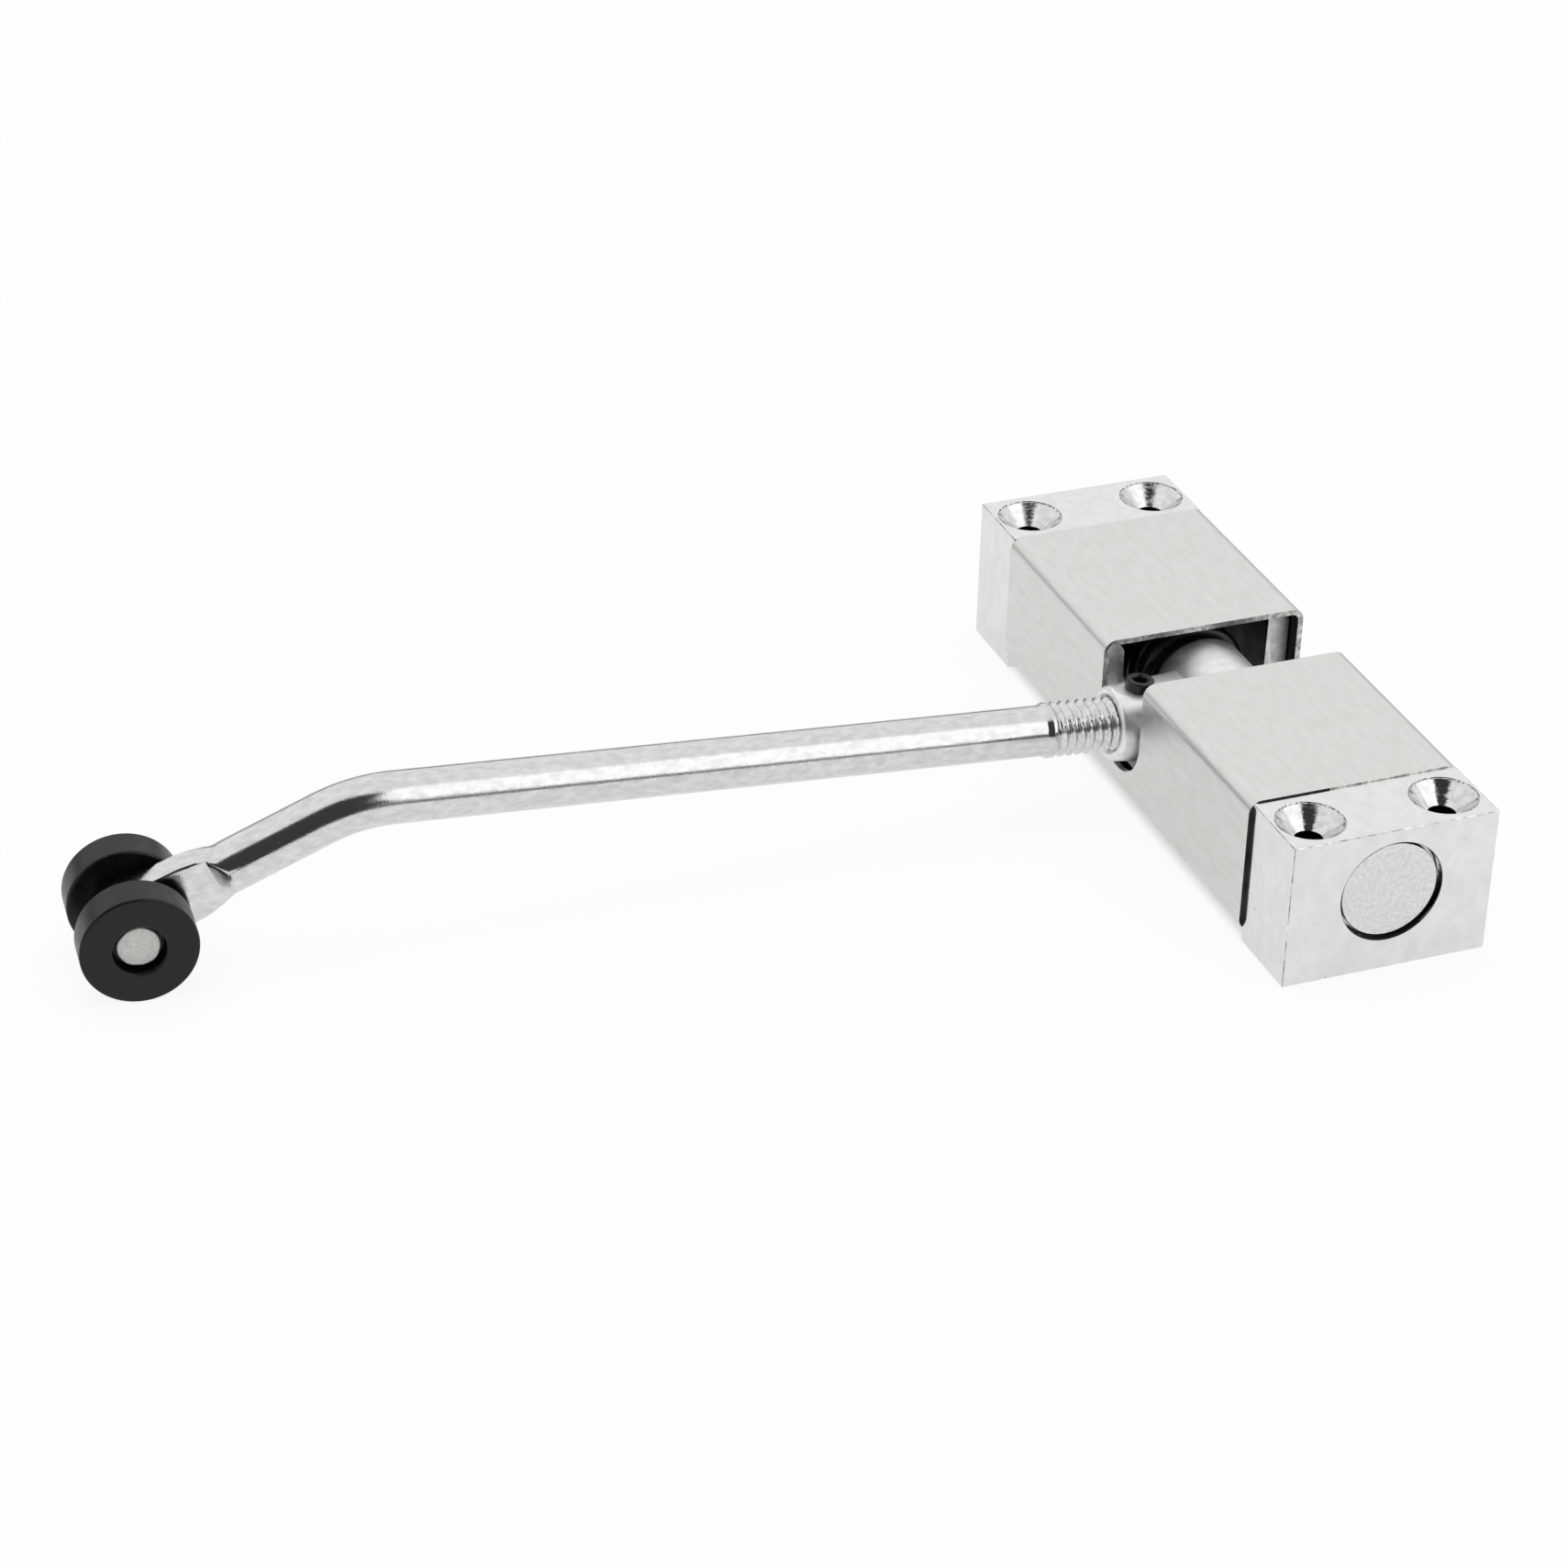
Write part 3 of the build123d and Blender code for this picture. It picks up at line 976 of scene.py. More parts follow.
@dataclass
class CoverSheet:
    """The folded stainless channel with its slot.

    Attributes:
        half_width: Half its outside width.
        top: Height of its top.
        foot: Height of its lips.
        half_length: Half its length.
        sheet: Thickness of the sheet.
        outer_bend: Outside radius of its four bends.
        lip_reach: Where the lips end, from the middle.
        slot: Half the slot's width.
        slot_floor: Height of the middle of the slot's round bottom.
        ragged: How far the slot's edge wanders on the top.
        edge: Rounding of its edges.
        bend_steps: Faces round each bend.
        floor_steps: Faces round half of the slot's bottom.
        shares: Places of the rows of corners from the slot's edge to the sheet's end.
    """

    half_width: float = 15.509
    top: float = 21.537
    foot: float = 1.6
    half_length: float = 39.032
    sheet: float = 0.8
    outer_bend: float = 1.8
    lip_reach: float = 11.509
    slot: float = 6.4
    slot_floor: float = 11.509
    ragged: float = 0.03
    edge: float = 0.13
    bend_steps: int = 10
    floor_steps: int = 24
    shares: tuple[float, ...] = (0.0, 0.004, 0.03, 0.25, 0.5, 0.75, 0.97, 0.996, 1.0)

    def _fold_line(self) -> list[Flat]:
        """Outline of the fold from the right lip up, over the top and down to the middle."""
        bend, side, high, low = self.outer_bend, self.half_width, self.top, self.foot
        line = [(self.lip_reach, low)]
        line += arc((side - bend, low + bend), bend, -90, 0, self.bend_steps)
        line += [(side, self.slot_floor - self.slot - 0.05)]
        turns = np.radians(np.linspace(0, 90, self.floor_steps + 1))
        line += [(side, self.slot_floor - self.slot * math.cos(t)) for t in turns]
        line += [(side, z) for z in np.linspace(self.slot_floor, high - bend, 6)[1:-1]]
        line += arc((side - bend, high - bend), bend, 0, 90, self.bend_steps)
        line += [(x, high) for x in np.linspace(side - bend, 0, 12)[1:]]
        return line

    def _slot_edge(self, place: float, height: float) -> float:
        """Distance of the slot's edge from the middle.

        Args:
            place: Where on the fold line, across the housing.
            height: Its height there.

        Returns:
            The distance, or 0 under the slot.
        """
        if height >= self.slot_floor:
            wave = self.ragged * math.sin(place * 2.9) * math.sin(place * 1.1 + 0.7)
            return self.slot + (wave if height > self.top - 0.1 else 0.0)
        drop = self.slot_floor - height
        return math.sqrt(self.slot**2 - drop**2) if drop < self.slot else 0.0

    def _sheet_mesh(self) -> Mesh:
        """The outer face of the slotted sheet, with its top side up."""
        half = self._fold_line()
        line = half + [(-x, z) for x, z in reversed(half[:-1])]
        wide = len(self.shares)
        points, faces = [], []
        for base, side in ((0, 1), (len(line) * wide, -1)):
            for x, z in line:
                start = self._slot_edge(x * side, z)
                run = self.half_length - start
                points += [(x, side * (start + run * share), z) for share in self.shares]
            for i in range(len(line) - 1):
                for a in range(base + i * wide, base + (i + 1) * wide - 1):
                    faces.append((a, a + 1, a + wide + 1, a + wide)[::-side])
        mesh = tidy(loose_mesh("cover_sheet", points, faces), 0.001, 0.0005, sharp=False)
        if max(mesh.polygons, key=lambda face: face.center.z).normal.z < 0:
            mesh.flip_normals()
        return mesh

    def dress(self) -> None:
        """Folds the slotted sheet and puts it in the place of its node."""
        # The sheet's inner face gets painted shade, for the dark inside of the housing.
        finishes = (SATIN_STAINLESS, SHEARED_EDGE, SHADED_SHEET_INSIDE, SHADED_GAP_EDGE)
        edge, inside, shaded_gap = 1, 2, 3
        cover = make_object("cover_sheet", self._sheet_mesh(), *finishes)
        wall = cover.modifiers.new("thickness", "SOLIDIFY")
        wall.thickness, wall.offset, wall.use_even_offset = self.sheet * MM, -1.0, True
        wall.material_offset_rim, wall.material_offset = edge, inside
        bake_modifiers(cover)
        # Most rim faces at the sheet's ends get painted shade, for the shaded gap at the block.
        for face in cover.data.polygons:
            x, y, _ = (c / MM for c in face.center)
            if face.material_index == edge and abs(y) > self.half_length - 0.1:
                if not -4 <= x <= self.half_width - 1:
                    face.material_index = shaded_gap
        bevel = cover.modifiers.new("rounded_edges", "BEVEL")
        bevel.width, bevel.segments, bevel.use_clamp_overlap = self.edge * MM, 2, True
        bevel.limit_method, bevel.angle_limit = "ANGLE", math.radians(60)
        bake_modifiers(cover)
        cover.data.shade_smooth()
        even_shading(cover)
        settle(cover, Body.HOUSING, "cover_channel")


@dataclass
class EndBlock:
    """One chromed die-casting: a head with two screw holes and the plug's bore, and its cheeks.

    Attributes:
        half_width: Half the head's width.
        height: The head's height.
        start: Where the head meets the cover, from the housing's middle.
        stop: Where the head ends.
        edge: Rounding of the head's edges.
        bore: Radius of the plug's bore.
        bore_lip: Depth of the flare at the bore's rim.
        screw_x: Place of the screw holes from the middle plane.
        screw_y: Place of the screw holes from the housing's middle.
        hole: Radius of the screw holes.
        mouth: Radius of the countersinks' mouths.
        mouth_soft: Depth of the softening at the mouths.
        cheek_in: Inner side of a cheek at its foot.
        cheek_out: Outer side of a cheek.
        cheek_foot: Height of a cheek's foot.
        cheek_top: Height of its top.
        cheek_end: Where it ends near the slot.
        cheek_soft: Rounding of that end.
        draft: How much thinner a cheek is at its top.
        bevel: Bevel of the cheek's top edges.
        leg_depth: Depth of the spring leg's hole.
    """

    half_width: float = 14.958
    height: float = 21.287
    start: float = 39.083
    stop: float = 51.082
    edge: float = 0.2
    bore: float = 7.379
    bore_lip: float = 0.12
    screw_x: float = 9.799
    screw_y: float = 45.233
    hole: float = 1.95
    mouth: float = 4.68
    mouth_soft: float = 0.18
    cheek_in: float = 10.958
    cheek_out: float = 14.558
    cheek_foot: float = 2.45
    cheek_top: float = 19.586
    cheek_end: float = 8.7
    cheek_soft: float = 0.16
    draft: float = 0.25
    bevel: float = 1.3
    leg_depth: float = 6.4

    def _head(self) -> Mesh:
        """The head as a block, rounded but for the edges at the cover."""
        work = bmesh.new()
        bmesh.ops.create_cube(work, size=1.0)
        length = self.stop - self.start
        for corner in work.verts:
            corner.co.x *= 2 * self.half_width * MM
            corner.co.y = (self.start + length * (corner.co.y + 0.5)) * MM
            corner.co.z = self.height * (corner.co.z + 0.5) * MM
        inner = [v for v in work.verts if abs(v.co.y - self.start * MM) < 1e-7]
        keep = [e for e in work.edges if not all(v in inner for v in e.verts)]
        width = {"offset": self.edge * MM, "segments": 4, "profile": 0.5}
        bmesh.ops.bevel(work, geom=keep, affect="EDGES", clamp_overlap=True, **width)
        mesh = bpy.data.meshes.new("head")
        work.to_mesh(mesh)
        work.free()
        return tidy(mesh)

    def _cheek(self) -> Mesh:
        """The cheek on the +X side, drafted, with its top edges bevelled."""
        top, slope, soft = self.cheek_top, self.bevel, self.cheek_soft
        corners = [
            (self.cheek_in, self.cheek_foot),
            (self.cheek_out - 1.0, self.cheek_foot),
            (self.cheek_out, self.cheek_foot + 1.0),
            (self.cheek_out, top - slope / 2),
            (self.cheek_out - slope / 2, top),
            (self.cheek_in + self.draft + slope / 2, top),
            (self.cheek_in + self.draft, top - slope),
        ]
        outline = rounded(corners, {k: 0.25 for k in range(len(corners))}, 3)
        centre, end, count = np.mean(outline, axis=0), self.start + 0.6, len(outline)
        places = [
            (self.cheek_end + soft * (1 - math.cos(turn)), soft * (1 - math.sin(turn)))
            for turn in np.radians(np.linspace(0, 90, 5))
        ]
        places.append((end, 0.0))
        points = []
        for y, inset in places:
            for x, z in outline:
                toward = centre - np.array((x, z))
                moved = np.array((x, z)) + toward * inset / np.linalg.norm(toward)
                back = max(0.0, (z - top + slope / 2) * 2) if y < end else 0.0
                points.append((moved[0], y + back, moved[1]))
        last = len(places) - 1
        faces = [tuple(range(count)), tuple(range(last * count, (last + 1) * count))[::-1]]
        for row in range(last):
            faces += band(row, row + 1, count)
        return tidy(loose_mesh("cheek", points, faces))

    def _screw_hole(self, side: int) -> Mesh:
        """The shape that a countersunk hole takes out, with a softened mouth.

        Args:
            side: The side of X that it is on.

        Returns:
            Its mesh.
        """
        soft, half_right = self.mouth_soft, math.radians(45)
        across, top = self.mouth - soft, self.height
        cone = (self.hole, top - self.mouth + self.hole)
        profile = [(0.0, -1.0), (self.hole, -1.0), cone, (across, top - soft)]
        radius = soft / math.sin(half_right) * 1.2
        for turn in np.radians(np.linspace(45, 12, 5))[1:]:
            wider = across + radius * (math.sin(half_right) - math.sin(turn))
            profile.append((wider, top - soft + radius * (math.cos(turn) - math.cos(half_right))))
        profile += [(profile[-1][0] + 0.35, top + 0.4), (0.0, top + 0.4)]
        frame = frame_matrix((side * self.screw_x, self.screw_y, 0), (0, 0, 1), (1, 0, 0))
        return lathe("screw_hole", profile, frame, 96)

    def _bore(self) -> Mesh:
        """The shape that the plug's bore takes out, flared at its outer rim."""
        lip, wide, beyond = self.bore_lip, self.bore + self.bore_lip * 1.2, self.stop + 0.5
        profile = [(0.0, self.start - 1), (self.bore, self.start - 1), (self.bore, self.stop - lip)]
        profile += [(self.bore + lip * 0.4, self.stop - lip * 0.4), (wide, self.stop + 0.05)]
        profile += [(wide, beyond), (0.0, beyond)]
        return lathe("plug_bore", profile, spindle_frame(), 128)

    def leg_hole(self) -> Mesh:
        """The shape that the spring leg's hole takes out of the block and its plug."""
        low, high = self.start - 1, self.start + self.leg_depth
        return cylinder("leg_hole", LEG_HOLE, low, high, leg_frame(BLOCK_LEG_TURN), 40)

    def _skin(self, face: bpy.types.MeshPolygon) -> Skin:
        """Picks the finish of one face from where it lies and which way it looks.

        Args:
            face: The face.

        Returns:
            Its finish.
        """
        x, y, z = (abs(c) / MM for c in face.center)
        if y < self.start - 0.01:
            # Inner faces of the cheeks get painted shade, for the dark inside of the housing.
            inward = face.normal.x * face.center.x < 0 and abs(face.normal.x) > 0.5
            return Skin.GREASY if inward else Skin.CAST
        if math.hypot(x - self.screw_x, y - self.screw_y) < self.mouth + 0.12 and z > 1:
            if z > self.height - 0.3 and abs(face.normal.z) < 0.999:
                return Skin.WORN
            return Skin.COUNTERSUNK if z < self.height - 0.01 else Skin.POLISHED
        # The bore's flared rim gets painted shade, for the dark gap round the plug.
        near_bore = math.hypot(x, z - LINE.spindle_height) < self.bore + 0.3
        if near_bore and abs(face.normal.y) < 0.9:
            return Skin.DIRTY
        return Skin.RUBBED if sorted(abs(c) for c in face.normal)[1] > 0.25 else Skin.POLISHED

    def dress(self, end: End) -> None:
        """Makes the casting of one end and puts it in the place of its node.

        Args:
            end: Which end it is for.
        """
        block = make_object(f"{end.label}_block_casting", self._head())
        cheek = self._cheek()
        combine(block, Cut.JOIN, [cheek, mirrored(cheek.copy(), MIRROR_X)])
        cuts = [self._screw_hole(-1), self._screw_hole(1), self._bore(), self.leg_hole()]
        combine(block, Cut.REMOVE, cuts)
        if end is End.FRONT:
            mirrored(block.data, MIRROR_Y)
        paint(block, [BLOCK_FINISHES[skin] for skin in Skin], self._skin)
        even_shading(block)
        settle(block, Body.HOUSING, f"{end.label}_end_block")


@dataclass
class EndPlug:
    """The plug whose face is the disc in the end block.

    Attributes:
        radius: Radius where it fits the bore.
        face_radius: Radius of its face.
        inner: Its inner end, from the housing's middle.
        face: Where its face lies.
        step: Depth of the reduced rim.
        bush_bore: Radius of the counterbore for the bush.
        bush_floor: Bottom of that counterbore.
    """

    radius: float = 7.358
    face_radius: float = 6.958
    inner: float = 39.083
    face: float = 50.532
    step: float = 1.0
    bush_bore: float = 5.07
    bush_floor: float = 46.383

    def dress(self, end: End) -> None:
        """Turns the plug of one end and puts it in the place of its node.

        Args:
            end: Which end it is for.
        """
        rim = self.face - self.step
        profile = [
            (self.bush_bore, self.inner),
            (self.radius, self.inner),
            (self.radius, rim),
            (self.face_radius, rim),
            (self.face_radius, self.face),
            (0.0, self.face),
            (0.0, self.bush_floor),
            (self.bush_bore, self.bush_floor),
        ]
        profile = rounded(profile, {1: 0.2, 2: 0.1, 4: 0.16})
        mesh = lathe("plug", profile, spindle_frame(), 128)
        plug = make_object(f"{end.label}_plug_disc", mesh)
        combine(plug, Cut.REMOVE, [EndBlock().leg_hole()])
        if end is End.FRONT:
            mirrored(plug.data, MIRROR_Y)
        # The plug's sides and rim step get painted shade, for the dark ring round its face.
        paint(plug, (CAST_PLUG, SHADED_GAP_EDGE), lambda face: abs(face.normal.y) < 0.3)
        even_shading(plug)
        settle(plug, Body.HOUSING, f"{end.label}_end_plug")


@dataclass
class Hub:
    """The cast drum with its tapered boss.

    Attributes:
        radius: Radius of the drum.
        half_length: Half its length.
        rim: Rounding of its rims.
        bore: Radius of the spindle's bore.
        tip: Radius of the boss at its mouth.
        root: Radius of the boss at the spindle.
        reach: Distance of the mouth from the middle.
        rod_bore: Radius of the rod's hole.
        rod_floor: Where that hole ends.
        flare: How much wider the hole's mouth is.
        flat: Height of the flat over the rod's axis.
        grub_place: Distance of the set screw along the rod.
        grub_bore: Radius of its hole.
        pin_place: Place of the cross pin from the housing's middle.
        pin_bore: Radius of its hole.
        pin_depth: Where that hole ends, from the middle plane.
        beyond: How far the cutting shapes reach on the open side.
    """

    radius: float = 7.198
    half_length: float = 7.2
    rim: float = 0.5
    bore: float = 4.02
    tip: float = 5.2
    root: float = 7.045
    reach: float = 17.558
    rod_bore: float = 3.92
    rod_floor: float = 6.1
    flare: float = 0.45
    flat: float = 5.2
    grub_place: float = 13.408
    grub_bore: float = 2.02
    pin_place: float = 4.85
    pin_bore: float = 1.27
    pin_depth: float = 4.9
    beyond: float = 9.0

    def _boss(self) -> Mesh:
        """The boss with its flat top."""
        cone = [(0.0, 0.0), (self.root, 0.0), (self.tip, self.reach), (0.0, self.reach)]
        mesh = lathe("boss", rounded(cone, {2: 0.75}, 6), LINE.along_frame(), 128)
        boss = make_object("boss", mesh)
        wide, far = 2 * self.root, self.reach + 1
        square = [(-1, -wide), (far, -wide), (far, wide), (-1, wide)]
        top = prism("flat", square, LINE.across_frame(0), self.flat, self.flat + wide)
        combine(boss, Cut.REMOVE, [top])
        mesh = boss.data.copy()
        bpy.data.objects.remove(boss)
        return mesh

    def _holes(self) -> list[Mesh]:
        """The shapes that the hub's holes and the groove take out."""
        wide, far = self.rod_bore + self.flare, self.reach + 1
        mouth = [(0.0, self.rod_floor), (self.rod_bore, self.rod_floor)]
        mouth += [(self.rod_bore, self.reach - 0.35), (wide, self.reach + 0.1)]
        mouth += [(wide, far), (0.0, far)]
        long, groove = self.half_length + 1, leg_frame(HUB_LEG_TURN)
        grub = LINE.across_frame(self.grub_place)
        pin = frame_matrix((0, self.pin_place, LINE.spindle_height), (1, 0, 0), (0, 0, 1))
        return [
            cylinder("spindle_bore", self.bore, -long, long, spindle_frame(), 96),
            lathe("rod_bore", mouth, LINE.along_frame(), 96),
            cylinder("grub_bore", self.grub_bore, 0.0, self.beyond, grub, 64),
            cylinder("leg_groove", LEG_HOLE, -long, long, groove, 48),
            cylinder("pin_bore", self.pin_bore, -self.pin_depth, self.beyond, pin, 40),
        ]

    def dress(self) -> None:
        """Casts the hub, bores it and puts it in the place of its node."""
        half = self.half_length
        drum = [(0.0, -half), (self.radius, -half), (self.radius, half), (0.0, half)]
        drum = rounded(drum, {1: self.rim, 2: self.rim}, 8)
        hub = make_object("hub_casting", lathe("drum", drum, spindle_frame(), 160))
        combine(hub, Cut.JOIN, [self._boss()])
        combine(hub, Cut.REMOVE, self._holes())
        paint(hub, [CHROMED_HUB])
        even_shading(hub)
        settle(hub, Body.ARM, "hub")


@dataclass
class SetScrew:
    """The black socket screw that locks the rod in the boss.

    Attributes:
        radius: Its radius.
        low: Its point over the rod's axis.
        high: Its top over the rod's axis.
        place: Its distance along the rod.
        flats: Width of its hexagon socket.
        depth: Depth of the socket.
        turned: How far the socket is turned, in degrees.
    """

    radius: float = 2.0
    low: float = 3.22
    high: float = 6.7
    place: float = 13.408
    flats: float = 2.0
    depth: float = 1.5
    turned: float = 12

    def dress(self) -> None:
        """Turns the screw, sinks its socket and puts it in the place of its node."""
        low, high = self.low, self.high
        body = [(0.0, low), (self.radius, low), (self.radius, high), (0.0, high)]
        frame = LINE.across_frame(self.place)
        mesh = lathe("set_screw", rounded(body, {1: 0.5, 2: 0.3}), frame, 64)
        screw = make_object("set_screw", mesh)
        corner = self.flats / math.sqrt(3)
        turns = [math.radians(60 * k + self.turned) for k in range(6)]
        hexagon = [(corner * math.cos(t), corner * math.sin(t)) for t in turns]
        socket = prism("socket", hexagon, frame, high - self.depth, high + 1)
        inner, outer = high - 0.25, high + 0.05
        mouth = [(0.0, inner), (corner - 0.08, inner), (corner + 0.2, outer), (0.0, outer)]
        combine(screw, Cut.REMOVE, [socket, lathe("socket_mouth", mouth, frame, 48)])
        paint(screw, [BLACK_OXIDE])
        even_shading(screw)
        settle(screw, Body.ARM, "hub_grub_screw")


@dataclass
class ThreadedRod:
    """The rod: rolled thread, straight shank, bend and the end that is pressed flat.

    Attributes:
        radius: Radius of the plain rod.
        crest: Radius of the thread's crests.
        root: Depth of the thread from its crests.
        start: Where the rod starts in the hub.
        lead: Length of its chamfered start.
        chamfer: How much the radius grows along that start.
        thread_end: Where the thread ends.
        run_out: Length over which the thread fades there.
        pitch: Distance between crests.
        press_start: Where the press starts, from the bend along the tail.
        press_end: Where the flat has its full depth.
        half_thickness: Half the flat's thickness.
        waist: How far the sides are drawn in beside the press's edge.
        square: How much squarer than an ellipse the flat's section is.
        shoulder: Where the flat has its full width.
        shoulder_half: Half its width there.
        eye: Radius of the eye round the pin.
        bore: Radius of the pin's hole and of the set screw's seat.
        around: Points round each section.
    """

    radius: float = 3.55
    crest: float = 3.9
    root: float = 0.62
    start: float = 6.2
    lead: float = 0.35
    chamfer: float = 1.2
    thread_end: float = 27.3
    run_out: float = 1.6
    pitch: float = 1.34
    press_start: float = 18.5
    press_end: float = 20.6
    half_thickness: float = 1.9
    waist: float = 0.12
    square: float = 2.2
    shoulder: float = 25.0
    shoulder_half: float = 4.35
    eye: float = 4.6
    bore: float = 2.02
    around: int = 96

    def _tail_place(self, distance: float) -> float:
        """Distance along the rod of a place on the tail."""
        return LINE.bend_stop + distance - LINE.bend_cut

    def _places(self) -> list[float]:
        """Distances along the rod at which a section is made."""
        places = [self.start]
        for stop, count in (
            (self.start + self.lead, 4),
            (self.thread_end + 0.9, 180),
            (LINE.bend_start, 26),
            (LINE.bend_stop, 28),
            (self._tail_place(self.press_start), 8),
            (self._tail_place(self.press_end), 26),
            (self._tail_place(self.shoulder + 1.5), 26),
            (self._tail_place(LINE.tail_length), 14),
        ):
            places += list(np.linspace(places[-1], stop, count)[1:])
        turns = np.linspace(0, math.pi / 2, 26)[1:]
        return places + list(places[-1] + self.eye * np.sin(turns))

    def _station(self, place: float) -> tuple[np.ndarray, np.ndarray, np.ndarray]:
        """Finds where a section lies.

        Args:
            place: Its distance along the rod.

        Returns:
            Its middle and its sideways and upward directions.
        """
        ahead, after = LINE.direction, LINE.tail_direction
        if place <= LINE.bend_start:
            middle, along, share = LINE.origin + ahead * place, ahead, 0.0
        elif place >= LINE.bend_stop:
            past = LINE.bend_cut + place - LINE.bend_stop
            middle, along, share = LINE.bend + after * past, after, 1.0
        else:
            inward = after - ahead * np.dot(after, ahead)
            inward /= np.linalg.norm(inward)
            angle = (place - LINE.bend_start) / LINE.bend_radius
            middle = LINE.origin + ahead * LINE.bend_start
            middle = middle + ahead * LINE.bend_radius * math.sin(angle)
            middle = middle + inward * LINE.bend_radius * (1 - math.cos(angle))
            along = ahead * math.cos(angle) + inward * math.sin(angle)
            share = angle / LINE.bend_turn
        side = np.array((0.0, 1.0, 0.0)) * (1 - share) + LINE.pin_direction * share
        side = side - along * np.dot(side, along)
        side /= np.linalg.norm(side)
        up = np.cross(along, side)
        return middle, side, up if up[2] > 0 else -up

    def _section(self, place: float) -> list[Flat]:
        """Outline of the rod's section.

        Args:
            place: Its distance along the rod.

        Returns:
            Its points, sideways and up.
        """
        past = place - self._tail_place(0.0)
        turns = np.arange(self.around) * FULL_TURN / self.around
        if past <= self.press_start:
            ease = min(1.0, max(0.0, place - self.thread_end + 0.1))
            radius = self.crest + (self.radius - self.crest) * ease * ease * (3 - 2 * ease)
            radius -= max(0.0, self.start + self.lead - place) * self.chamfer
            return [(radius * math.cos(t), radius * math.sin(t)) for t in turns]
        ramp = min(1.0, (past - self.press_start) / (self.press_end - self.press_start))
        clip = self.radius + (self.half_thickness - self.radius) * ramp
        flare = min(1.0, (past - self.press_start) / (self.shoulder - self.press_start))
        bulge = flare * flare * (3 - 2 * flare)
        waist = self.radius - self.waist * math.sin(math.pi * ramp)
        half = waist + (self.shoulder_half - self.radius) * bulge
        if past > self.shoulder:
            share = min(1.0, (past - self.shoulder) / (LINE.tail_length - self.shoulder))
            half = self.shoulder_half + (self.eye - self.shoulder_half) * share
        if past > LINE.tail_length:
            rest = max(0.0, self.eye**2 - (past - LINE.tail_length) ** 2)
            half = max(0.02, math.sqrt(rest))
        power, blunt = 2.0 + self.square * bulge, 26
        made = []
        for t in turns:
            c, s = abs(math.cos(t)), abs(math.sin(t))
            free = (c**power + s**power) ** (-1 / power)
            pressed = clip / (self.radius * max(c, 1e-6))
            reach = (free**-blunt + pressed**-blunt) ** (-1 / blunt)
            made.append((reach * self.radius * math.cos(t), reach * half * math.sin(t)))
        return made

    def _thread_tree(self) -> Tree:
        """Builds the tree that rolls a thread into the rod's surface.

        Returns:
            The tree, with named inputs for the thread's sizes.
        """
        sizes = ("Pitch", "Depth", "First", "Last", "Run out")
        tree, given = open_tree("rolled_thread", dict.fromkeys(sizes, "NodeSocketFloat"))
        known = {socket.name: socket for socket in given}
        for name in ("along_mm", "turn"):
            kind, settings = "GeometryNodeInputNamedAttribute", {"data_type": "FLOAT"}
            known[name] = add(tree, kind, settings, {"Name": name}).outputs[0]
        entry = {"Value": "along_mm", "From Min": "First", "From Max": "full from"}
        leave = {"Value": "along_mm", "From Min": "fade from", "From Max": "Last"}
        for name, operation, terms in (
            ("turns", "DIVIDE", {0: "along_mm", 1: "Pitch"}),
            ("turns", "ADD", {0: "turns", 1: "turn"}),
            ("phase", "FRACT", {0: "turns"}),
            ("valley", "MULTIPLY_ADD", {0: "phase", 1: 2.0, 2: -1.0}),
            ("valley", "ABSOLUTE", {0: "valley"}),
            ("shaped", "MULTIPLY", {0: "valley", 1: 1.3}),
            ("shaped", "SMOOTH_MIN", {0: "shaped", 1: 1.0, 2: 0.25}),
            ("full from", "ADD", {0: "First", 1: 0.8}),
            ("full", None, entry),
            ("fade from", "SUBTRACT", {0: "Last", 1: "Run out"}),
            ("fade", None, leave | {"To Min": 1.0, "To Max": 0.0}),
            ("amount", "MULTIPLY", {0: "shaped", 1: "full"}),
            ("amount", "MULTIPLY", {0: "amount", 1: "fade"}),
            ("depth", "MULTIPLY", {0: "amount", 1: "Depth"}),
            ("depth", "MULTIPLY", {0: "depth", 1: -MM}),
        ):
            kind = "ShaderNodeMath" if operation else "ShaderNodeMapRange"
            settings = {"operation": operation} if operation else SMOOTH
            inputs = {key: known.get(term, term) for key, term in terms.items()}
            known[name] = add(tree, kind, settings, inputs).outputs[0]
        inwards = {0: add(tree, "GeometryNodeInputNormal").outputs[0], "Scale": known["depth"]}
        offset = add(tree, "ShaderNodeVectorMath", {"operation": "SCALE"}, inwards).outputs[0]
        moved = {0: given["Geometry"], "Offset": offset}
        moved = add(tree, "GeometryNodeSetPosition", inputs=moved).outputs[0]
        close_tree(tree, moved, PLATED_ROD)
        return tree

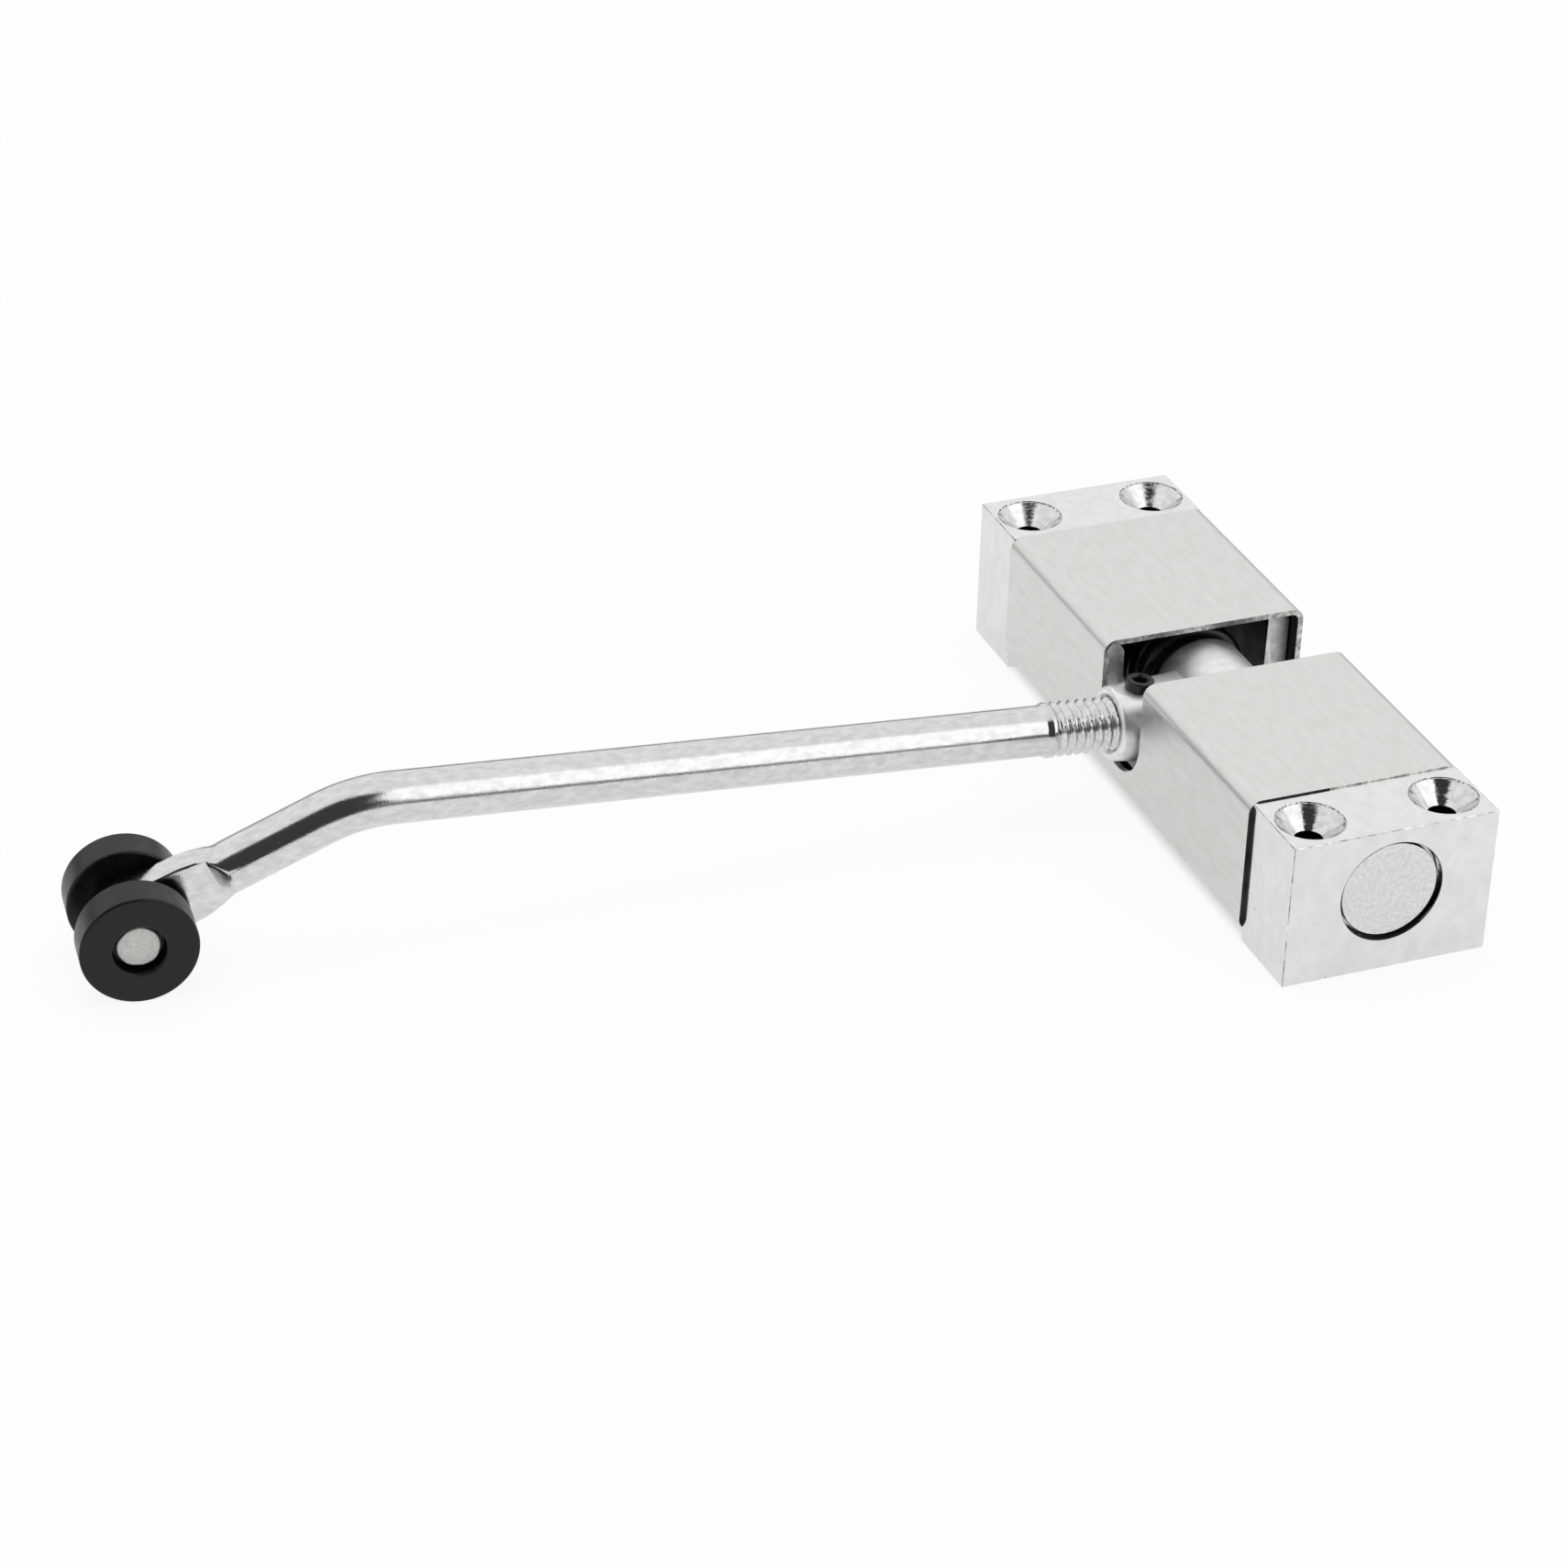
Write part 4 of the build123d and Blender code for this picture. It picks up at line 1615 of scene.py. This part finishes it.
    def dress(self) -> None:
        """Lofts the rod, rolls its thread, drills its eye and puts it in its node's place."""
        places = self._places()
        points, along, turns, faces = [], [], [], []
        for row, place in enumerate(places):
            middle, side, up = self._station(place)
            points += [middle + side * x + up * z for x, z in self._section(place)]
            along += [place] * self.around
            turns += [k / self.around for k in range(self.around)]
            faces += band(row, row + 1, self.around) if place != places[-1] else []
        last = (len(places) - 1) * self.around
        faces += [tuple(range(self.around))[::-1], tuple(range(last, last + self.around))]
        mesh = loose_mesh("threaded_rod", points, faces)
        for name, values in (("along_mm", along), ("turn", turns)):
            mesh.attributes.new(name, "FLOAT", "POINT").data.foreach_set("value", values)
        rod = make_object("threaded_rod", tidy(mesh, merge=0, sharp=False))
        sizes = {"Pitch": self.pitch, "Depth": self.root, "First": self.start}
        sizes |= {"Last": self.thread_end, "Run out": self.run_out}
        run_tree(rod, self._thread_tree(), sizes)
        seat = LINE.across_frame(SetScrew().place)
        hole = cylinder("pin_hole", self.bore, -4.0, 4.0, LINE.pin_frame(End.REAR), 48)
        combine(rod, Cut.REMOVE, [hole, cylinder("screw_spot", self.bore, 3.2, 6.0, seat, 32)])
        paint(rod, [PLATED_ROD])
        settle(rod, Body.ARM, "arm_rod")


@dataclass
class Roller:
    """A moulded nylon roller with the counterbore that hides the rivet's head.

    Attributes:
        radius: Its tread's radius.
        inner: Its inner face, from the middle of the tail.
        outer: Its outer face.
        bore: Radius of its hole.
        counterbore: Radius of the counterbore.
        floor: Bottom of the counterbore.
        edge: Rounding of the tread's edges.
    """

    radius: float = 7.8
    inner: float = 3.4
    outer: float = 8.4
    bore: float = 2.05
    counterbore: float = 3.55
    floor: float = 6.02
    edge: float = 0.35

    def dress(self, end: End) -> None:
        """Turns the roller of one side and puts it in the place of its node.

        Args:
            end: Which side it is on.
        """
        profile = [
            (self.bore, self.inner),
            (self.radius, self.inner),
            (self.radius, self.outer),
            (self.counterbore, self.outer),
            (self.counterbore, self.floor),
            (self.bore, self.floor),
        ]
        profile = rounded(profile, {0: 0.15, 1: self.edge, 2: self.edge, 3: 0.3, 4: 0.2}, 6)
        mesh = lathe("roller", profile, LINE.pin_frame(end), 144)
        roller = make_object(f"{end.label}_roller_tread", mesh, BLACK_NYLON)
        even_shading(roller)
        node = f"{end.label}_roller"
        settle(roller, Body(node), node)


@dataclass
class Rivet:
    """The pin of the rollers, with a head flattened into each counterbore.

    Attributes:
        shank: Its radius.
        head: Radius of its heads.
        seat: Where a head starts, from the middle of the tail.
        face: Where a head ends.
        dints: Waves round a head, as the riveting set leaves them: share, count and start.
    """

    shank: float = 2.0
    head: float = 2.85
    seat: float = 6.12
    face: float = 7.37
    dints: tuple[Point, ...] = ((0.012, 3, 0.6), (0.010, 5, 2.0), (0.006, 9, 0.0))

    def _hammered(self, turn: float, height: float) -> float:
        """Makes the heads a little out of round.

        Args:
            turn: Where on the rim, in radians.
            height: Where along the rivet.

        Returns:
            The factor on the radius there.
        """
        if abs(height) < self.seat + 0.01:
            return 1.0
        return 1.0 + sum(share * math.sin(n * turn + start) for share, n, start in self.dints)

    def dress(self) -> None:
        """Forms the rivet and puts it in the place of its node."""
        shank, head = (self.shank, self.seat), (self.head, self.seat)
        half = [(self.shank, 0.0), shank, head, (self.head, self.face), (0.0, self.face)]
        half = rounded(half, {3: 0.22}, 5)[1:]
        outline = [(r, -h) for r, h in reversed(half)] + half
        mesh = lathe("rivet", outline, LINE.pin_frame(End.REAR), 96, self._hammered)
        rivet = make_object("rivet", mesh, RIVET_STEEL)
        even_shading(rivet)
        settle(rivet, Body.ARM, "roller_pin")


@dataclass
class Washer:
    """A flat ring with softened edges.

    Attributes:
        node: The node that it stands for.
        finish: What it is dressed in.
        slot: The node's material slot; not used.
        frame: Frame on its axis.
        inner: Radius of its hole.
        outer: Its outer radius.
        low: Its lower face along the axis.
        high: Its upper face.
        notch: Radius of the notch for the spring's leg, or 0 for a full rim.
        edge: Softening of its edges.
    """

    node: str
    finish: Finish
    slot: str
    frame: np.ndarray
    inner: float
    outer: float
    low: float
    high: float
    notch: float = 0.0
    edge: float = 0.08

    def dress(self) -> None:
        """Turns the ring and puts it in the place of its node."""
        low, high, name = self.low, self.high, f"{self.node}_ring"
        profile = [(self.inner, low), (self.outer, low), (self.outer, high), (self.inner, high)]
        profile = rounded(profile, dict.fromkeys(range(4), self.edge), 3)
        ring = make_object(name, lathe(name, profile, self.frame, 96))
        if self.notch:
            line = leg_frame(HUB_LEG_TURN)
            combine(ring, Cut.REMOVE, [cylinder("notch", self.notch, low - 1, high + 1, line, 40)])
        paint(ring, [self.finish])
        even_shading(ring)
        settle(ring, Body.ARM, self.node)


@dataclass
class TorsionSpring:
    """A close-wound torsion spring with a straight leg at each end.

    Attributes:
        wire: Radius of the wire.
        mean: Mean radius of the coils.
        pitch: Distance between coils.
        turns: Number of coils.
        bend: Radius of the bends to the legs.
        first: Where the coils' wire starts, from the housing's middle.
        hub_leg: Length of the leg in the hub.
        block_leg: Length of the leg in the block.
        still: Where the coils start to twist, from the housing's middle; not used.
        held: Where they turn fully with the arm; not used.
        sides: Faces round the wire.
        steps: Points along one coil.
    """

    wire: float = 1.25
    mean: float = 6.75
    pitch: float = 2.615
    turns: float = 10.73885
    bend: float = 2.2
    first: float = 9.4
    hub_leg: float = 4.8
    block_leg: float = 4.0
    still: float = 39.0
    held: float = 8.4
    sides: int = 20
    steps: int = 48

    def _leg(
        self, corner: np.ndarray, onward: np.ndarray, outward: np.ndarray, length: float
    ) -> list[np.ndarray]:
        """Points of the bend and the leg after a coil's end.

        Args:
            corner: The coil's last point.
            onward: Direction of the wire there, without its slope.
            outward: Direction of the leg.
            length: Length of the leg.

        Returns:
            The points.
        """
        slope = math.atan(self.pitch / (FULL_TURN * self.mean))
        centre = corner - onward * self.bend * math.sin(slope)
        centre = centre + outward * self.bend * math.cos(slope)
        made = [
            centre + (onward * math.sin(turn) - outward * math.cos(turn)) * self.bend
            for turn in np.linspace(slope, math.pi / 2, 12)[1:]
        ]
        return made + [made[-1] + outward * length * share for share in (0.5, 1.0)]

    def _path(self) -> np.ndarray:
        """Middle of the wire, from the hub's leg to the block's, about the spindle's axis."""
        slope = math.atan(self.pitch / (FULL_TURN * self.mean))
        shift = self.bend * (1 - math.sin(slope))
        clock = math.radians(HUB_LEG_TURN - 90) - math.atan(shift / self.mean)
        count, last = int(self.turns * self.steps), -FULL_TURN * self.turns
        coil = []
        for k in range(count + 1):
            turn, height = last * k / count, self.pitch * self.turns * k / count
            coil.append(np.array((self.mean * math.cos(turn), self.mean * math.sin(turn), height)))
        up, first = np.array((0.0, 0.0, 1.0)), np.array((0.0, 1.0, 0.0))
        onward = np.array((math.sin(last), -math.cos(last), 0.0))
        head = self._leg(coil[0], first, -up, self.hub_leg)[::-1]
        points = np.array(head + coil + self._leg(coil[-1], onward, up, self.block_leg))
        c, s = math.cos(clock), math.sin(clock)
        x, y, z = (points @ np.array(((c, -s, 0), (s, c, 0), (0, 0, 1))).T).T
        return np.column_stack((x, z + self.first, LINE.spindle_height - y))

    def _wire_tree(self) -> Tree:
        """Builds the tree that draws round wire along a path.

        Returns:
            The tree, with named inputs for the wire's radius and sides.
        """
        kinds = {"Wire radius": "NodeSocketFloat", "Sides": "NodeSocketInt"}
        tree, given = open_tree("wire_along_path", kinds)
        line = add(tree, "GeometryNodeMeshToCurve", inputs={0: given["Geometry"]}).outputs[0]
        ring = {"Resolution": given["Sides"], "Radius": given["Wire radius"]}
        ring = add(tree, "GeometryNodeCurvePrimitiveCircle", inputs=ring).outputs[0]
        wire = {"Curve": line, "Profile Curve": ring, "Fill Caps": True}
        wire = add(tree, "GeometryNodeCurveToMesh", inputs=wire).outputs[0]
        close_tree(tree, wire, BLACK_SPRING)
        return tree

    def dress(self, end: End) -> None:
        """Winds the spring of one end and puts it in the place of its node.

        Args:
            end: Which end it is for.
        """
        path = self._path()
        path[:, 1] *= end.value
        links = [(k, k + 1) for k in range(len(path) - 1)]
        coil = make_object(f"{end.label}_coil", loose_mesh(f"{end.label}_coil", path, (), links))
        run_tree(coil, self._wire_tree(), {"Wire radius": self.wire * MM, "Sides": self.sides})
        tidy(coil.data)
        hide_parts(f"{end.label}_torsion_spring")
        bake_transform(coil)
        log.info("%s spring: %d faces", end.label, len(coil.data.polygons))


@dataclass(frozen=True)
class Studio:
    """The camera, the lamps and what the metal reflects.

    Attributes:
        azimuth: Direction of the camera round the object, in degrees.
        elevation: Its height over the horizon, in degrees.
        roll: Its turn about its own axis, in degrees.
        place: Its place in millimetres.
        lens: Its focal length for a 36 mm sensor.
        patches: Round areas of the room: direction, outer and inner angle, and grey.
        lights: The lamps: name, place in metres, size and watts.
    """

    azimuth: float = -21.644
    elevation: float = 31.022
    roll: float = 1.439
    place: Point = (-247.23, -457.85, 308.14)
    lens: float = 97.45
    patches: tuple[tuple[Point, float, float, float], ...] = (
        ((-0.30, -0.80, 0.50), 42, 31, 0.045),
        ((0.62, -0.62, 0.48), 34, 26, 1.35),
    )
    lights: tuple[tuple[str, Point, float, float], ...] = (
        ("overhead", (-0.1, 0.15, 0.9), 0.7, 1.6),
        ("front_right", (0.6, -0.6, 0.55), 0.4, 0.9),
    )

    def camera(self) -> None:
        """Places the camera at the photograph's viewing angle."""
        a, e, r = (math.radians(v) for v in (self.azimuth, self.elevation, self.roll))
        back = Vector((math.sin(a) * math.cos(e), -math.cos(a) * math.cos(e), math.sin(e)))
        right = Vector((0, 0, 1)).cross(back).normalized()
        up = back.cross(right)
        turned_right = right * math.cos(r) + up * math.sin(r)
        turned_up = up * math.cos(r) - right * math.sin(r)
        data = bpy.data.cameras.new("camera")
        data.lens, data.sensor_width = self.lens, 36.0
        data.clip_start, data.clip_end = 0.01, 20.0
        camera = bpy.data.objects.new("camera", data)
        columns = (turned_right, turned_up, back)
        matrix = Matrix([[c[i] for c in columns] for i in range(3)]).to_4x4()
        matrix.translation = Vector(self.place) * MM
        camera.matrix_world = matrix
        bpy.context.scene.collection.objects.link(camera)
        bpy.context.scene.camera = camera

    def floor(self) -> None:
        """Lays the pale floor, white to the camera apart from a trace of the shadow."""
        far = 3000.0
        corners = [(-far, -far, 0), (far, -far, 0), (far, far, 0), (-far, far, 0)]
        floor = make_object("floor", loose_mesh("floor", corners, [range(4)]))
        material = bpy.data.materials.new("white_table")
        tree = empty_tree(material)
        seen = add(tree, "ShaderNodeLightPath").outputs
        place = add(tree, "ShaderNodeTexCoord").outputs["Object"]
        known = dict(add(tree, "ShaderNodeSeparateXYZ", inputs={0: place}).outputs.items())
        length = add(tree, "ShaderNodeVectorMath", {"operation": "LENGTH"}, {0: place})
        known |= {"away": length.outputs["Value"], "gloss": seen["Is Glossy Ray"]}
        known["glass"] = seen["Is Transmission Ray"]
        # Masks from distances in metres: clear of the object's foot, and how far the
        # mirrored floor keeps its own light.
        for name, operation, terms in (
            ("across", "ABSOLUTE", ("X",)),
            ("along", "ABSOLUTE", ("Y",)),
            ("aside", None, ("across", 0.0118, 0.0152, 0.0, 1.0)),
            ("beyond", "GREATER_THAN", ("along", 0.05)),
            ("outside", "MAXIMUM", ("aside", "beyond")),
            ("share", "MULTIPLY", ("outside", 0.9)),
            ("dim", SMOOTH, ("away", 0.16, 0.5, 0.9, 0.25)),
            ("far", SMOOTH, ("away", 0.05, 0.2, 0.75, 1.0)),
            ("indirect", "MAXIMUM", ("gloss", "glass")),
        ):
            sum_up = isinstance(operation, str)
            kind = "ShaderNodeMath" if sum_up else "ShaderNodeMapRange"
            settings = {"operation": operation} if sum_up else operation
            keys = range(len(terms)) if sum_up else ("Value", *LIMITS)
            inputs = {key: known.get(term, term) for key, term in zip(keys, terms)}
            known[name] = add(tree, kind, settings, inputs).outputs[0]
        paper = add(tree, "ShaderNodeBsdfDiffuse", inputs={"Color": linear("#f4f4f4")}).outputs[0]
        glows = [
            add(tree, "ShaderNodeEmission", inputs={"Color": WHITE, "Strength": s}).outputs[0]
            for s in (known["dim"], 1.0)
        ]
        surface = paper
        mirrored_floor = {0: known["far"], 1: paper, 2: glows[0]}
        mirrored_floor = add(tree, "ShaderNodeMixShader", inputs=mirrored_floor).outputs[0]
        shown = {0: known["share"], 1: paper, 2: glows[1]}
        shown = add(tree, "ShaderNodeMixShader", inputs=shown).outputs[0]
        for where, layer in ((known["indirect"], mirrored_floor), (seen["Is Camera Ray"], shown)):
            layers = {0: where, 1: surface, 2: layer}
            surface = add(tree, "ShaderNodeMixShader", inputs=layers).outputs[0]
        add(tree, "ShaderNodeOutputMaterial", inputs={"Surface": surface})
        floor.data.materials.append(material)

    def world(self) -> None:
        """Makes the room: white behind, light overhead, with a dark side at the front."""
        world = bpy.data.worlds.new("studio")
        bpy.context.scene.world = world
        tree = empty_tree(world)
        seen = add(tree, "ShaderNodeLightPath").outputs
        way = add(tree, "ShaderNodeTexCoord").outputs["Generated"]
        height = add(tree, "ShaderNodeSeparateXYZ", inputs={0: way}).outputs["Z"]
        limits = {"Value": height} | dict(zip(LIMITS, (0.04, 0.26, 0.22, 0.93)))
        room = add(tree, "ShaderNodeMapRange", SMOOTH, limits).outputs[0]
        layers = []
        for direction, wide, narrow, grey in self.patches:
            facing = {0: way, 1: Vector(direction).normalized()}
            facing = add(tree, "ShaderNodeVectorMath", {"operation": "DOT_PRODUCT"}, facing)
            edge = [math.cos(math.radians(angle)) for angle in (wide, narrow)]
            limits = {"Value": facing.outputs["Value"]} | dict(zip(LIMITS, edge))
            layers.append((add(tree, "ShaderNodeMapRange", SMOOTH, limits).outputs[0], grey))
        for where, grey in layers:
            mix = {0: where, 2: room, 3: grey}
            room = add(tree, "ShaderNodeMix", {"data_type": "FLOAT"}, mix).outputs[0]
        indirect = {0: seen["Is Glossy Ray"], 1: seen["Is Transmission Ray"]}
        indirect = add(tree, "ShaderNodeMath", {"operation": "MAXIMUM"}, indirect).outputs[0]
        plain = {0: indirect, 2: 0.78, 3: room}
        plain = add(tree, "ShaderNodeMix", {"data_type": "FLOAT"}, plain).outputs[0]
        shown = {0: seen["Is Camera Ray"], 2: plain, 3: 1.0}
        shown = add(tree, "ShaderNodeMix", {"data_type": "FLOAT"}, shown).outputs[0]
        glow = {"Color": WHITE, "Strength": shown}
        light = add(tree, "ShaderNodeBackground", inputs=glow).outputs[0]
        add(tree, "ShaderNodeOutputWorld", inputs={"Surface": light})

    def lamps(self) -> None:
        """Hangs the soft lamps, unseen by the metal."""
        for name, place, size, watts in self.lights:
            data = bpy.data.lights.new(name, "AREA")
            data.shape, data.size, data.energy = "SQUARE", size, watts
            lamp = bpy.data.objects.new(name, data)
            lamp.location = place
            lamp.rotation_euler = Vector(place).to_track_quat("Z", "Y").to_euler()
            lamp.visible_glossy = False
            bpy.context.scene.collection.objects.link(lamp)

    def build(self) -> None:
        """Sets up the whole studio."""
        self.floor()
        self.world()
        self.lamps()
        self.camera()
        bpy.context.scene.view_settings.view_transform = "Standard"


def washers() -> list[Washer]:
    """Lists the thrust washers beside the hub and the spacer washers beside the tail.

    Returns:
        The four washers.
    """
    made, steel, nylon = [], (GROUND_STEEL, "ground_steel"), (BLACK_NYLON, "black_nylon")
    for end in End:
        low, high = sorted((end.value * 7.251, end.value * 8.05))
        sizes = {"inner": 4.05, "outer": 6.408, "low": low, "high": high, "notch": LEG_HOLE + 0.2}
        made.append(Washer(f"{end.label}_thrust_washer", *steel, spindle_frame(), **sizes))
        sizes = {"inner": 2.02, "outer": 4.4, "low": 1.95, "high": 3.35}
        made.append(Washer(f"{end.label}_spacer_washer", *nylon, LINE.pin_frame(end), **sizes))
    return made


def dress_inner_nodes(nodes: dict[str, Piece]) -> None:
    """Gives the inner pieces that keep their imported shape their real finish.

    Args:
        nodes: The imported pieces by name.
    """
    for name, finish in (
        ("spindle", GROUND_STEEL),
        ("hub_cross_pin", GROUND_STEEL),
        ("front_bush", OILED_BRONZE),
        ("rear_bush", OILED_BRONZE),
    ):
        paint(nodes[name], [finish])
        log.info("%s keeps its packed shape", name)


def main() -> None:
    """Builds the pieces in order and reports each."""
    logging.basicConfig(level=logging.INFO, format="%(name)s %(message)s")
    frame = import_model()
    Studio().build()
    CoverSheet().dress()
    for end in End:
        for made in (EndBlock(), EndPlug(), TorsionSpring(), Roller()):
            made.dress(end)
    for made in (Hub(), SetScrew(), ThreadedRod(), Rivet(), *washers()):
        made.dress()
    dress_inner_nodes(frame["nodes"])


if __name__ == "__main__":
    main()
